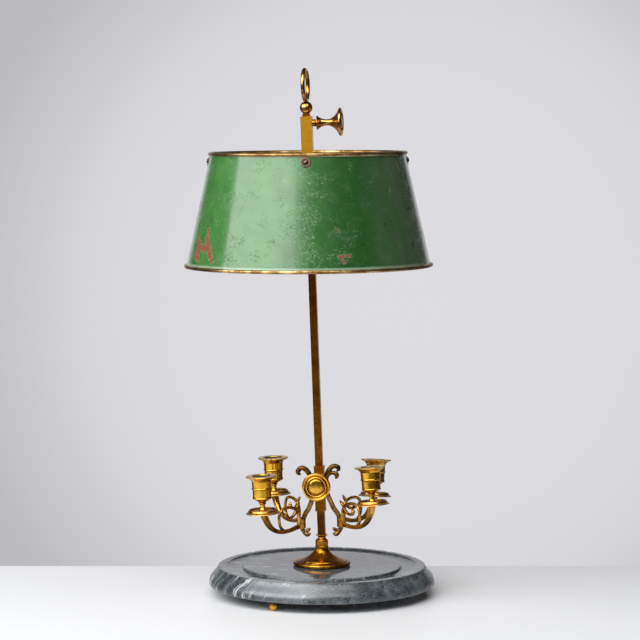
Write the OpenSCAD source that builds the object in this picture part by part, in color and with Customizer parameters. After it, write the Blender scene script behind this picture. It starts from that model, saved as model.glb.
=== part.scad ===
// Bouillotte lamp: a marble base, a square brass stem with a ring handle, a sliding
// four-light candle branch with cast scroll arms, and a sliding tole shade on a spider.
// Millimetres, +Z up, front towards -Y. The origin is the centre of the base on the table.

/* [Marble base] */
// Radius of the marble at its widest
base_r = 142.5; // [138:0.5:165]
// Radius of the marble's upper edge
base_top_r = 131; // [124:0.5:135]
// Thickness of the marble
base_h = 23.7; // [20:0.1:32]
// Radius of the raised centre of the top
plateau_r = 100; // [70:0.5:108]
// Width of the flat rim round the top
rim_w = 10.5; // [6:0.5:14]
// Depth of the channel between the rim and the raised centre
channel_d = 3; // [1.5:0.1:5]
// Radius of the recess under the base for the tie nut
tie_recess_r = 17; // [14.5:0.5:20]
// Depth of that recess
tie_recess_d = 10; // [9.5:0.5:12]

/* [Ball feet] */
// Number of ball feet
feet_count = 3; // [3:1:4]
// Radius of one ball
ball_r = 5.45; // [4.5:0.05:7]
// Height of the neck and collar over a ball
feet_neck_h = 2.1; // [1.8:0.1:3]
// Distance of the feet from the centre
feet_at_r = 128.5; // [110:0.5:132]
// Direction of the first foot
feet_turn = 249; // [230:1:270]
// Radius of the stud that holds a foot
foot_stud_r = 2.2; // [1.5:0.1:2.8]
// Length of the stud
foot_stud_l = 9; // [5:0.5:12]

/* [Stem foot] */
// Radius of the foot's flange
foot_r = 36.3; // [30:0.1:45]
// Height of the foot, from the marble to the lip under the bar
foot_h = 38.9; // [34:0.1:48]
// Radius of the short cylinder at the top of the foot
foot_drum_r = 8; // [7.2:0.1:10]
// Radius of the lip that the bar stands on
foot_lip_r = 7.3; // [6.9:0.1:9]

/* [Stem] */
// Side of the square bar
bar_w = 9.3; // [8:0.1:9.8]
// Length of the bar, from the foot's lip to the ring handle
bar_l = 529; // [480:1:580]
// Lean of the bar towards -X
stem_lean = 2.1; // [0:0.1:3]
// Radius of the round tail that ties the stem to the base
tail_r = 4; // [3:0.1:4.5]
// Radius of the washer under the base
tie_washer_r = 13; // [9:0.5:14]
// Thickness of that washer
tie_washer_t = 1.6; // [1:0.1:2]
// Width of the nut under the base, across its flats
tie_nut_w = 13; // [12:0.5:15]
// Height of that nut
tie_nut_h = 6; // [4:0.5:7]

/* [Ring handle] */
// Outside radius of the ring
ring_r = 21.8; // [18:0.1:28]
// Radius of the ring's round section
ring_wire_r = 2.6; // [2:0.1:3.5]
// Radius of the ball under the ring
ring_ball_r = 8; // [6.5:0.1:10]
// Turn of the ring about the stem
ring_turn = -3; // [-20:1:20]
// Depth of the ring handle's spigot in the end of the bar
spigot_l = 9; // [6:0.5:14]

/* [Candle branch] */
// Height of the branch on the bar, from the lip to the middle of the brackets
branch_at = 59.4; // [56:0.1:90]
// Side of the branch's square collar
collar_w = 12.4; // [12.2:0.1:15]
// Length of the collar
collar_l = 57; // [50:0.5:66]
// How far the collar's lower end lies under the middle of the brackets
collar_drop = 29.2; // [25:0.1:33]
// Gap between a sliding sleeve and the bar, on each side
slide_gap = 0.15; // [0.1:0.01:0.2]
// Distance of the bosses that carry the arms, from the middle of the bar
boss_out = 25.5; // [23:0.5:29]
// Depth of the bosses under the middle of the brackets
boss_down = 44; // [40:0.5:48]
// Radius of a boss
boss_r = 5.6; // [5:0.1:6.5]
// Height of a boss
boss_h = 13; // [12:0.5:15]
// Height of the brackets' upper scrolls over the middle of the brackets
bracket_rise = 27.6; // [24:0.1:31]
// Depth of their lower scrolls under the middle of a boss
bracket_drop = 15.2; // [14:0.1:18]
// Half the thickness of a bracket
bracket_r = 3.1; // [2.7:0.05:3.3]
// Radius of the countersunk rivet in a boss
rivet_r = 1.5; // [1.2:0.1:1.8]
// Radius of the rivet's head
rivet_head_r = 3; // [2.4:0.1:3.6]

/* [Scroll arms] */
// Angle between each arm and the line through the two bosses, seen from above:
// front left, back left, front right, back right
arm_spread = [51, 52, 45, 55.5]; // [44:0.5:58]
// Height of each arm's root over the middle of its boss, in the same order
arm_seat = [-4, 3, -3.2, 3.6]; // [-4.2:0.1:4.2]
// Reach of an arm, from its boss to its nozzle
arm_reach = 65; // [63:0.5:72]
// Height of the drip pan's underside over the arm's root
arm_rise = 26; // [24:0.1:29]
// Droop of each arm, in the same order
arm_droop = [1, -0.7, -4.7, 5.4]; // [-6:0.1:6]
// Outward lean of each nozzle, in the same order
nozzle_lean = [1, -0.5, -3.4, 6.6]; // [-4:0.1:7]
// Half the depth of the arm's moulded section
arm_r = 2.65; // [2:0.05:2.8]
// Radius of the thin scrolls
scroll_r = 1.9; // [1.2:0.05:2]
// Radius of the tenon in the boss
tenon_r = 1.6; // [1.3:0.1:1.9]
// Length of the tenon
tenon_l = 3.2; // [2.4:0.1:3.6]

/* [Drip pans and nozzles] */
// Radius of a drip pan at its lower edge
pan_r = 21.6; // [19:0.1:25]
// Height of a drip pan
pan_h = 5; // [4:0.1:6.5]
// Radius of the candle socket
candle_r = 10.5; // [9.5:0.05:11.4]
// Depth of the candle socket
candle_d = 27; // [22:0.5:28]
// Height of a nozzle
nozzle_h = 44.5; // [42:0.5:52]
// Height of a nozzle's waist, from its foot to its cup
waist_h = 14.5; // [13.5:0.1:16]
// Radius of the nozzle's top flange
nozzle_flange_r = 19.6; // [17:0.1:23]
// Thickness of a drip pan's flat
pan_floor = 2.6; // [2:0.1:3]
// Radius of the spigot that holds a pan and a nozzle on its arm
spigot_r = 2.4; // [1.8:0.1:2.6]
// Depth of the spigot's hole in a nozzle
spigot_top = 8.4; // [6:0.1:9.5]
// Radius of the seat under a pan
pan_seat_r = 6; // [5:0.1:7]

/* [Thumbscrews] */
// Length of a thumbscrew outside its sleeve
knob_l = 38.5; // [34:0.5:46]
// Radius of a thumbscrew's face
knob_r = 17.9; // [15:0.1:21]
// Radius of the screw
screw_r = 2.5; // [2:0.1:3]
// Height of the branch's thumbscrew over the middle of the brackets
branch_screw_up = 7; // [0:0.5:12]
// Gap between a thumbscrew and its hole, and at its tip
screw_gap = 0.06; // [0.03:0.01:0.1]

/* [Shade carrier] */
// Depth of the shade's sleeve under the upper end of the bar
sleeve_below = 2.8; // [1:0.1:60]
// Side of the shade's square sleeve
sleeve_w = 14; // [13:0.1:16]
// Length of the sleeve
sleeve_l = 68; // [64:0.5:76]
// Depth of the thumbscrew under the sleeve's upper end
sleeve_screw_down = 8.2; // [6:0.1:12]
// Width of a spider arm
spider_w = 9; // [7:0.5:12]
// Thickness of a spider arm
spider_t = 2.4; // [1.8:0.1:3]
// Radius of the spider's hub
hub_r = 17; // [13:0.5:20]
// Height of the hub
hub_h = 7; // [5:0.5:10]
// Depth of the shade's upper rim under the sleeve's upper end
shade_hang = 45.7; // [40:0.1:50]
// Turn of the spider and of its screws, seen from above
spider_turn = 5.4; // [0:0.1:10]

/* [Shade] */
// Radius over the upper rim
shade_top_r = 124.6; // [115:0.5:135]
// Radius over the lower rim
shade_bottom_r = 155.8; // [145:0.5:170]
// Height between the middles of the two rims
shade_h = 139.5; // [120:0.5:160]
// Thickness of the sheet
sheet_t = 0.8; // [0.5:0.1:1.2]
// How far the sheet lies inside the middle of the rims' beads
sheet_in = 1.2; // [0:0.1:1.6]
// Radius of the wired rims
rim_bead_r = 2.2; // [1.8:0.1:2.6]
// Depth of the shade's screws under the upper rim
shade_screw_down = 9; // [7:0.5:12]
// How far the shade hangs back towards upright on its leaning sleeve
shade_trim = 1.7; // [0:0.1:2]
// Radius of a shade screw
shade_screw_r = 1.6; // [1.3:0.1:2]
// Radius of its head
shade_head_r = 3.3; // [3:0.1:4.5]
// Radius of its washer
shade_washer_r = 6.3; // [5:0.1:8]
// Thickness of its washer
washer_t = 0.6; // [0.4:0.1:1]
// Height of its nut
nut_h = 3; // [2:0.5:4]

/* [Hidden] */

front_left = 0;
back_left = 1;
front_right = 2;
back_right = 3;
left = -1;
right = 1;

// Clearance between pieces that are fixed to each other
fit = 0.05;
fine = 96;
round_fn = 48;

// Where the ball of a foot meets its neck
ball_neck_angle = 55;
feet_h = ball_r * (1 + sin(ball_neck_angle)) + feet_neck_h;
base_top = feet_h + base_h;
lip_z = base_top + foot_h;
// Top of the recess under the base, where the washer bears
tie_seat = feet_h + tie_recess_d;
bar_hole = bar_w + 2 * slide_gap;
sleeve_top_at = bar_l - sleeve_below;
shade_rim_at = sleeve_top_at - shade_hang;
shade_slope = atan((shade_bottom_r - shade_top_r) / shade_h);
spider_turns = [0, 90, 180, 270];
// Length of a shade screw inside the sheet, and the corner radius of its nut
shade_screw_in = sheet_t + 0.1 + spider_t + nut_h + 1;
shade_nut_r = shade_screw_r + 2.4;
// Depth of the top of the spider's arms under the upper rim: they pass below the nuts
strap_down = shade_screw_down + shade_nut_r * cos(shade_slope) + shade_screw_in * sin(shade_slope) + 0.6;

brass = "#a8741f";
old_brass = "#6b4a22";

// ---- Outlines and curves -------------------------------------------------------------

// Points on an arc about c, from angle a0 to angle a1
function arc(c, r, a0, a1, n = 6) =
    [for (i = [0:n]) c + r * [cos(a0 + (a1 - a0) * i / n), sin(a0 + (a1 - a0) * i / n)]];

// A smooth curve through the points p, which may carry a radius as their last value
function curve_point(p, i, t) =
    let (a = p[max(i - 1, 0)], b = p[i], c = p[i + 1], d = p[min(i + 2, len(p) - 1)])
    (2 * b + (c - a) * t + (2 * a - 5 * b + 4 * c - d) * t ^ 2 + (3 * b - a - 3 * c + d) * t ^ 3) / 2;
function curve(p, steps) =
    [for (i = [0:len(p) - 2], k = [0:steps - 1]) curve_point(p, i, k / steps), p[len(p) - 1]];

// Sections for a bar swept along a curve: depth in the plane of the curve, then width across it
round_section = [for (i = [0:7]) [cos(45 * i), sin(45 * i)]];
reeded_section = [
    [1, 0], [0.86, 0.6], [0.5, 0.88], [0, 0.6], [-0.5, 0.88], [-0.86, 0.6],
    [-1, 0], [-0.86, -0.6], [-0.5, -0.88], [0, -0.6], [0.5, -0.88], [0.86, -0.6]
];

function unit(v) = v / norm(v);

// One bar of changing thickness, swept in the XZ plane through points [x, z, half thickness]
module swept_bar(points, section = round_section, steps = 3) {
    path = curve(points, steps);
    last = len(path) - 1;
    count = len(section);
    rings = [
        for (i = [0:last])
            let (
                a = path[max(i - 1, 0)],
                b = path[min(i + 1, last)],
                along = unit([b.x - a.x, b.y - a.y]),
                p = path[i]
            )
            for (s = section) [p.x - along.y * s.x * p.z, s.y * p.z, p.y + along.x * s.x * p.z]
    ];
    polyhedron(
        points = rings,
        faces = [
            [for (k = [0:count - 1]) count - 1 - k],
            [for (k = [0:count - 1]) last * count + k],
            for (i = [0:last - 1], k = [0:count - 1])
                let (a = i * count + k, b = i * count + (k + 1) % count)
                each [[a, b, a + count], [b, b + count, a + count]]
        ],
        convexity = 10
    );
}

module square_tube(side, hole, length) {
    difference() {
        translate([-side / 2, -side / 2, 0]) cube([side, side, length]);
        translate([-hole / 2, -hole / 2, -1]) cube([hole, hole, length + 2]);
    }
}

// ---- Places --------------------------------------------------------------------------

// On the leaning bar, at a height from the foot's lip
module on_bar(height) {
    translate([0, 0, lip_z]) rotate([0, -stem_lean, 0]) translate([0, 0, height]) children();
}

module on_branch() {
    on_bar(branch_at) children();
}

module at_boss(side) {
    on_branch() translate([side * boss_out, 0, -boss_down]) children();
}

function arm_side(which) = which < front_right ? left : right;
function arm_azimuth(which) =
    [180 + arm_spread[which], 180 - arm_spread[which], -arm_spread[which], arm_spread[which]][which];

// An arm's own frame, from its root on the axis of its boss: X outwards along the arm
module at_arm(which) {
    at_boss(arm_side(which)) translate([0, 0, arm_seat[which]])
        rotate([0, 0, arm_azimuth(which)]) rotate([0, arm_droop[which], 0]) children();
}

// The end of an arm in the arm's own frame, where the pan and the nozzle stand
module at_arm_end(which) {
    translate([arm_reach, 0, arm_rise])
        rotate([0, nozzle_lean[which] - arm_droop[which], 0]) children();
}

module at_pan(which) {
    at_arm(which) at_arm_end(which) children();
}

// The shade's own frame, in the middle of its upper rim
module on_shade() {
    on_bar(shade_rim_at) rotate([0, shade_trim, spider_turn]) children();
}

// ---- Base and stem -------------------------------------------------------------------

module marble_base() {
    side_h = base_h - 4;
    channel_r = base_top_r - rim_w;
    cove_r = channel_r - plateau_r - 6;
    color("slategray") translate([0, 0, feet_h]) difference() {
        rotate_extrude($fn = fine) polygon([
            [tail_r + fit, 0],
            [base_r - 4, 0],
            each arc([base_r - 2.4, 2.4], 2.4, -90, 0, 4),
            each [for (t = [0:0.125:1])
                [base_r - 0.2 - (base_r - base_top_r) * (t - 0.07 * sin(360 * t) - 0.13 * sin(180 * t)),
                    4 + (side_h - 0.8) * t]],
            [base_top_r - 0.8, base_h],
            [channel_r, base_h],
            each [for (t = [0.2:0.2:1])
                [channel_r - cove_r * t, base_h - channel_d * sin(90 * t)]],
            [plateau_r + 1.2, base_h - channel_d],
            [plateau_r, base_h - 0.6],
            [plateau_r - 0.6, base_h],
            [tail_r + fit, base_h]
        ]);
        translate([0, 0, -1]) cylinder(r = tie_recess_r, h = tie_recess_d + 1, $fn = round_fn);
        for (i = [0:feet_count - 1]) rotate([0, 0, feet_turn + 360 * i / feet_count])
            translate([feet_at_r, 0, -1])
                cylinder(r = foot_stud_r + fit, h = foot_stud_l + 1.5, $fn = round_fn);
    }
}

module ball_feet() {
    neck_r = ball_r * cos(ball_neck_angle) - 0.5;
    for (i = [0:feet_count - 1]) color(brass)
        rotate([0, 0, feet_turn + 360 * i / feet_count]) translate([feet_at_r, 0, 0])
            rotate_extrude($fn = round_fn) polygon([
                each arc([0, ball_r], ball_r, -90, ball_neck_angle, 12),
                [neck_r, feet_h - 1.4],
                [neck_r + 2, feet_h - 1.1],
                [neck_r + 2, feet_h],
                [foot_stud_r, feet_h],
                [foot_stud_r, feet_h + foot_stud_l],
                [0, feet_h + foot_stud_l]
            ]);
}

module stem_foot() {
    bead = 2.3;
    color(brass) translate([0, 0, base_top]) rotate_extrude($fn = fine) polygon([
        [tail_r + fit, 0],
        [foot_r - 3.4, 0],
        [foot_r - 2.4, 0.4],
        each arc([foot_r - bead, 0.6 + bead], bead, -70, 100, 8),
        [foot_r - 4.6, 4.6],
        [foot_r - 5, 5.8],
        [foot_r - 7.4, 6.6],
        each [for (t = [0:0.1:1])
            [foot_drum_r + 0.4 + (foot_r - 8.2 - foot_drum_r) * (1 - t) ^ 2.4, 7.2 + (foot_h - 22) * t]],
        [foot_drum_r, foot_h - 14.2],
        [foot_drum_r, foot_h - 8.6],
        each arc([foot_drum_r - 3, foot_h - 8.6], 3, 0, 75, 5),
        [5, foot_h - 4.2],
        [5, foot_h - 2.8],
        [foot_lip_r - 0.6, foot_h - 1.3],
        [foot_lip_r, foot_h - 0.9],
        [foot_lip_r, foot_h],
        [tail_r + fit, foot_h]
    ]);
}

module stem() {
    tail_end = tie_seat - tie_washer_t - tie_nut_h - 0.6;
    color(old_brass) {
        difference() {
            on_bar(-5) translate([-bar_w / 2, -bar_w / 2, 0]) cube([bar_w, bar_w, bar_l + 5]);
            translate([-bar_w, -bar_w, lip_z - 10]) cube([2 * bar_w, 2 * bar_w, 10]);
            on_bar(bar_l - spigot_l) cylinder(r = spigot_r + fit, h = spigot_l + 1, $fn = round_fn);
        }
        translate([0, 0, tail_end]) cylinder(r = tail_r, h = lip_z + 0.5 - tail_end, $fn = round_fn);
    }
}

module tie_washer() {
    color("dimgray") translate([0, 0, tie_seat - tie_washer_t]) difference() {
        cylinder(r = tie_washer_r, h = tie_washer_t, $fn = round_fn);
        translate([0, 0, -1]) cylinder(r = tail_r + 0.2, h = tie_washer_t + 2, $fn = round_fn);
    }
}

module tie_nut() {
    height = tie_nut_h;
    color("dimgray") translate([0, 0, tie_seat - tie_washer_t - height]) difference() {
        cylinder(r = tie_nut_w / 2 / cos(30), h = height, $fn = 6);
        translate([0, 0, -1]) cylinder(r = tail_r + fit, h = height + 2, $fn = round_fn);
    }
}

module ring_handle() {
    neck_h = 1.6;
    ball_z = neck_h + ring_ball_r * 0.82;
    ring_z = ball_z + ring_ball_r + ring_r - 1.9;
    color(brass) on_bar(bar_l) {
        rotate_extrude($fn = round_fn) polygon([
            [0, 0.3 - spigot_l],
            [spigot_r, 0.3 - spigot_l],
            [spigot_r, 0],
            [bar_w / 2, 0],
            [bar_w / 2, neck_h * 0.5],
            [bar_w / 2 - 1, neck_h],
            each arc([0, ball_z], ring_ball_r, -52, 90, 12)
        ]);
        translate([0, 0, ring_z]) rotate([0, 90, ring_turn])
            rotate_extrude($fn = fine)
                translate([ring_r - ring_wire_r, 0]) circle(r = ring_wire_r, $fn = round_fn);
    }
}

// ---- Candle branch -------------------------------------------------------------------

module branch_collar() {
    lip = 0.3;
    lip_h = 2.4;
    color(old_brass) on_branch() translate([0, 0, -collar_drop]) difference() {
        union() {
            square_tube(collar_w, bar_hole, collar_l);
            for (z = [0, collar_l - lip_h]) translate([0, 0, z])
                square_tube(collar_w + 2 * lip, bar_hole, lip_h);
        }
        translate([0, 0, collar_drop + branch_screw_up]) rotate([90, 0, 0])
            cylinder(r = screw_r + screw_gap, h = collar_w, $fn = round_fn);
    }
}

// The outlines of the castings are lists of points across, up and thick, as shares of the sizes
// that each is drawn with
function drawn(outline, corner, size, half) =
    [for (p = outline) [corner.x + p.x * size.x, corner.y + p.y * size.y, p.z * half]];

// A bracket lies in the plane of the bosses, between the collar's wall and its boss
bracket_strut = [
    [-0.17, 0.34, 0.71], [0.07, 0.11, 0.94], [0.13, -0.14, 1], [0.31, -0.36, 1], [0.53, -0.59, 1],
    [0.77, -0.75, 1], [0.96, -0.95, 1]
];
bracket_scroll_left = [
    [0.1, -0.11, 0.42], [0.11, 0.12, 0.7], [0.15, 0.35, 0.95], [0.33, 0.6, 1.05], [0.52, 0.81, 1.05],
    [0.76, 0.92, 1], [0.97, 0.885, 1], [1.09, 0.775, 1.03], [1.05, 0.675, 0.86], [0.98, 0.64, 0.52]
];
bracket_scroll_right = [
    [0.1, -0.11, 0.42], [0.1, 0.13, 0.71], [0.11, 0.43, 0.95], [0.25, 0.74, 1.02], [0.5, 0.94, 1],
    [0.74, 0.98, 0.94], [0.91, 0.91, 1], [0.925, 0.82, 0.84], [0.865, 0.775, 0.5]
];
bracket_second_lobe = [
    [0.1, 0.43, 0.71], [0.32, 0.625, 0.78], [0.57, 0.67, 0.8], [0.78, 0.6, 0.97], [0.81, 0.5, 0.88],
    [0.75, 0.44, 0.52]
];
bracket_volute = [
    [-0.03, 0.2, 0.9], [-0.04, 0.49, 0.9], [-0.18, 0.81, 0.87], [-0.35, 1, 1], [-0.49, 0.985, 0.74],
    [-0.53, 0.92, 0.42]
];
bracket_spur = [
    [-0.16, 0.63, 0.52], [-0.33, 0.68, 0.66], [-0.47, 0.605, 0.76], [-0.54, 0.53, 0.45]
];

// Cast bracket: a strut down to the boss, a scroll above and a short scroll below it.
// The right one's upper scroll has a second lobe.
module bracket(side) {
    wall = collar_w / 2;
    out = boss_out - wall;
    boss = [boss_out, -boss_down];
    // The left strut stands closer to the bar
    strut_in = (side == left ? 0.06 : 0.015) * out;
    color(old_brass) difference() {
        on_branch() {
            difference() {
                union() scale([side, 1, 1]) {
                    swept_bar(drawn(bracket_strut, [wall - strut_in, 0], [out, boss_down], bracket_r),
                        reeded_section);
                    for (outline = side == left ? [bracket_scroll_left] :
                        [bracket_scroll_right, bracket_second_lobe])
                        swept_bar(drawn(outline, [wall, 0], [out, bracket_rise], bracket_r));
                    for (outline = [bracket_volute, bracket_spur])
                        swept_bar(drawn(outline, boss, [out, -bracket_drop], bracket_r));
                    translate([boss.x, 0, boss.y - boss_h / 2])
                        cylinder(r = boss_r, h = boss_h, $fn = round_fn);
                }
                translate([-wall, -wall, -collar_l]) cube([2 * wall, 2 * wall, 2 * collar_l]);
            }
        }
        at_boss(side) boss_pin(fit);
        for (which = side == left ? [front_left, back_left] : [front_right, back_right])
            at_arm(which) translate([boss_r - tenon_l - 0.2, 0, 0]) rotate([0, 90, 0])
                cylinder(r = tenon_r + fit, h = tenon_l + 3, $fn = round_fn);
    }
}

// Countersunk rivet in a boss, or the hole for it
module boss_pin(gap = 0) {
    top = boss_h / 2;
    shank = rivet_r + gap;
    head = rivet_head_r + gap;
    bottom = -top + 2 - (gap > 0 ? 0.3 : 0);
    rotate_extrude($fn = round_fn) polygon([
        [0, bottom],
        [shank, bottom],
        [shank, top - head + shank],
        [head, top],
        each (gap > 0 ? [[head, top + 1], [0, top + 1]] : [[0, top]])
    ]);
}

module boss_pins() {
    for (side = [left, right]) color(brass) at_boss(side) boss_pin();
}

// An arm stands in its own frame, between its root and the underside of its pan
arm_bar = [
    [0.015, -0.012, 1.11], [0.138, -0.042, 1.11], [0.277, -0.104, 1], [0.4, -0.119, 1],
    [0.523, -0.108, 1], [0.615, -0.058, 1], [0.698, 0.023, 1.08], [0.782, 0.154, 1.19],
    [0.855, 0.335, 1.34], [0.914, 0.554, 1.49], [0.957, 0.785, 1.64], [0.978, 1.02, 1.72]
];
arm_loop = [
    [0.077, -0.019, 0.63], [0.058, 0.231, 1], [0.057, 0.462, 1], [0.08, 0.692, 1],
    [0.123, 0.831, 1.05], [0.194, 0.931, 1.1], [0.292, 1.004, 1.1], [0.4, 1.015, 1.1],
    [0.495, 0.954, 1.05], [0.557, 0.808, 1], [0.585, 0.608, 1], [0.585, 0.385, 1],
    [0.563, 0.169, 1], [0.508, 0.008, 1], [0.431, -0.104, 0.63]
];
arm_curl = [
    [0.122, 0.831, 0.68], [0.132, 0.754, 1.05], [0.166, 0.638, 1.16], [0.225, 0.535, 1],
    [0.302, 0.492, 1], [0.369, 0.523, 1.21], [0.4, 0.615, 1.21], [0.382, 0.692, 0.89],
    [0.354, 0.685, 0.42]
];
arm_thorn = [[0.148, 0.869, 0.74], [0.098, 0.946, 1.1], [0.058, 1.046, 1], [0.015, 1.162, 0.37]];

// The scroll arm: a moulded bar that dips and rises to the pan, and over it a thin scroll
// that loops from the boss down to the bar. A curl hangs inside the loop, and a thorn
// stands on its back.
module arm(which) {
    size = [arm_reach, arm_rise];
    color(brass) at_arm(which) {
        difference() {
            union() {
                swept_bar(drawn(arm_bar, [0, 0], size, arm_r), reeded_section);
                for (outline = [arm_loop, arm_curl, arm_thorn])
                    swept_bar(drawn(outline, [0, 0], size, scroll_r));
            }
            rotate([0, -arm_droop[which], 0]) translate([0, 0, -arm_seat[which] - boss_h / 2 - 10])
                cylinder(r = boss_r + fit, h = boss_h + 10 + fit, $fn = round_fn);
            at_arm_end(which) cylinder(r = 20, h = 20, $fn = round_fn);
        }
        translate([boss_r - tenon_l, 0, 0]) rotate([0, 90, 0])
            cylinder(r = tenon_r, h = tenon_l + 2, $fn = round_fn);
        at_arm_end(which) {
            translate([0, 0, -2.2]) cylinder(r1 = 3.2, r2 = pan_seat_r, h = 2.2, $fn = round_fn);
            translate([0, 0, -1])
                cylinder(r = spigot_r, h = 1 + pan_floor + spigot_top - 0.4, $fn = round_fn);
        }
    }
}

module pan(which) {
    edge = 0.8;
    slope = pan_r - pan_h * 0.85;
    color(brass) at_pan(which) rotate_extrude($fn = fine) polygon([
        [spigot_r + fit, 0],
        [pan_seat_r + 1, 0],
        [pan_seat_r + 3, 1.2],
        [pan_r - 3.2, 1],
        [pan_r - 1.4, 0.1],
        [pan_r - 0.3, 0],
        [pan_r, 0.3],
        [pan_r - 0.3, edge],
        [pan_r - 1.7, 1.5],
        [pan_r - 2.9, 2.6],
        each arc([slope - 0.4, pan_h - 1], 1, 30, 180, 5),
        [slope - 2.6, pan_floor + 0.2],
        [pan_seat_r + 1, pan_floor],
        [spigot_r + fit, pan_floor]
    ]);
}

module nozzle(which) {
    socket_z = nozzle_h - candle_d;
    low = candle_r + 1.15;
    high = candle_r + 1.8;
    low_bead = waist_h;
    mid_bead = nozzle_h * 0.65;
    color(brass) at_pan(which) translate([0, 0, pan_floor]) rotate_extrude($fn = fine) polygon([
        [spigot_r + fit, 0],
        [5.3, 0],
        [5.3, 1.4],
        [4.2, 2.4],
        [3.2 + fit, 4],
        [3.2 + fit, 8],
        each arc([3.6, 9.8], 1, -70, 80, 4),
        [4, 11],
        [6.2, low_bead - 1.9],
        [low - 1.4, low_bead + 0.4],
        each arc([low - 0.7, low_bead + 2.3], 1.3, -80, 80, 5),
        [low, low_bead + 3.9],
        [low, mid_bead - 1.5],
        each arc([low, mid_bead], 1.2, -75, 75, 5),
        [high - 0.3, mid_bead + 1.5],
        [high, nozzle_h - 6.6],
        [high + 1.4, nozzle_h - 4.4],
        [nozzle_flange_r - 2.2, nozzle_h - 2],
        [nozzle_flange_r - 0.3, nozzle_h - 1.3],
        [nozzle_flange_r, nozzle_h - 0.6],
        [nozzle_flange_r - 0.5, nozzle_h],
        [candle_r + 1.6, nozzle_h],
        [candle_r, nozzle_h - 2],
        [candle_r, socket_z],
        [2, socket_z - 1.2],
        [0, socket_z - 1.2],
        [0, spigot_top],
        [spigot_r + fit, spigot_top]
    ]);
}

// ---- Thumbscrews ---------------------------------------------------------------------

// A trumpet-shaped thumbscrew along +X; x = 0 is the outer face of its sleeve
module thumbscrew(wall) {
    face = knob_l;
    color(brass) rotate([90, 0, 90]) rotate_extrude($fn = fine) polygon([
        [0, slide_gap + screw_gap - wall],
        [screw_r, slide_gap + screw_gap - wall],
        [screw_r, 0.3],
        [4.4, 0.3],
        [4.4, 5.4],
        [8.8, 5.8],
        [9.1, 6.4],
        [8.2, 7.4],
        [6.6, 9.2],
        [5.4, 11.6],
        [4.4, face * 0.38],
        [3.8, face * 0.457],
        [3.9, face * 0.53],
        [4.6, face - 15.5],
        [6, face - 12.9],
        [knob_r - 9.4, face - 10],
        [knob_r - 6.2, face - 7.8],
        [knob_r - 3.4, face - 6],
        [knob_r - 1.7, face - 5],
        each arc([knob_r - 1.9, face - 3.1], 1.9, -60, 90, 5),
        [knob_r - 3.2, face - 1.6],
        [knob_r - 4.2, face - 2],
        each arc([knob_r - 5.9, face - 1.5], 1.1, 20, 160, 4),
        [knob_r - 7.4, face - 2.2],
        [knob_r - 8.2, face - 2.1],
        [knob_r - 10, face - 1.2],
        [3.4, face - 0.7],
        [0, face - 0.6]
    ]);
}

module branch_thumbscrew() {
    on_branch() translate([0, -collar_w / 2, branch_screw_up]) rotate([0, 0, -90])
        thumbscrew((collar_w - bar_w) / 2);
}

module shade_thumbscrew() {
    on_bar(sleeve_top_at - sleeve_screw_down) translate([sleeve_w / 2, 0, 0])
        thumbscrew((sleeve_w - bar_w) / 2);
}

// ---- Shade ---------------------------------------------------------------------------

module shade_sleeve() {
    color(old_brass) on_bar(sleeve_top_at - sleeve_l) difference() {
        union() {
            square_tube(sleeve_w, bar_hole, sleeve_l);
            translate([0, 0, sleeve_l - 1.2]) square_tube(sleeve_w + 1, bar_hole, 1.2);
        }
        translate([0, 0, sleeve_l - sleeve_screw_down]) rotate([0, 90, 0])
            cylinder(r = screw_r + screw_gap, h = sleeve_w, $fn = round_fn);
    }
}

// Radius of the sheet's outer face at a depth under the middle of the upper rim
function shell_r(depth) =
    shade_top_r - rim_bead_r - sheet_in + sheet_t / 2 + depth * tan(shade_slope);

// Where a screw crosses the sheet's outer face, with +X out of the shade
module at_shade_screw(turn) {
    on_shade() rotate([0, 0, turn]) translate([shell_r(shade_screw_down), 0, -shade_screw_down])
        rotate([0, -shade_slope, 0]) children();
}

// Each arm of the spider turns up at its end, behind the sheet, to take its screw
module shade_spider() {
    gap = sheet_t + 0.1;
    bar_z = -strap_down - spider_t;
    arm_end = shell_r(strap_down) - gap - 0.5;
    tab_low = strap_down + spider_t - shade_screw_down;
    tab_high = shade_screw_down - rim_bead_r - 1.5;
    color(brass) difference() {
        union() {
            on_shade() {
                translate([0, 0, bar_z + (spider_t - hub_h) / 2])
                    cylinder(r = hub_r, h = hub_h, $fn = round_fn);
                for (turn = spider_turns) rotate([0, 0, turn])
                    translate([hub_r - 2, -spider_w / 2, bar_z])
                        cube([arm_end - hub_r + 2, spider_w, spider_t]);
            }
            for (turn = spider_turns) at_shade_screw(turn)
                translate([-gap - spider_t, -spider_w / 2, -tab_low])
                    cube([spider_t, spider_w, tab_low + tab_high]);
        }
        on_bar(sleeve_top_at - sleeve_l - 10)
            translate([-sleeve_w / 2 - fit, -sleeve_w / 2 - fit, 0])
                cube([sleeve_w + 2 * fit, sleeve_w + 2 * fit, sleeve_l + 20]);
        for (turn = spider_turns) at_shade_screw(turn) translate([-8, 0, 0]) rotate([0, 90, 0])
            cylinder(r = shade_screw_r + fit, h = 18, $fn = round_fn);
    }
}

module shade_shell() {
    bead_in = sqrt(rim_bead_r ^ 2 - (sheet_in - sheet_t / 2) ^ 2) + 0.1;
    low = shade_h - bead_in;
    color("#3d5a3e") difference() {
        on_shade() rotate_extrude($fn = fine) polygon([
            [shell_r(bead_in), -bead_in],
            [shell_r(low), -low],
            [shell_r(low) - sheet_t, -low],
            [shell_r(bead_in) - sheet_t, -bead_in]
        ]);
        for (turn = spider_turns) at_shade_screw(turn) translate([-10, 0, 0]) rotate([0, 90, 0])
            cylinder(r = shade_screw_r + fit, h = 20, $fn = round_fn);
    }
}

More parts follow.
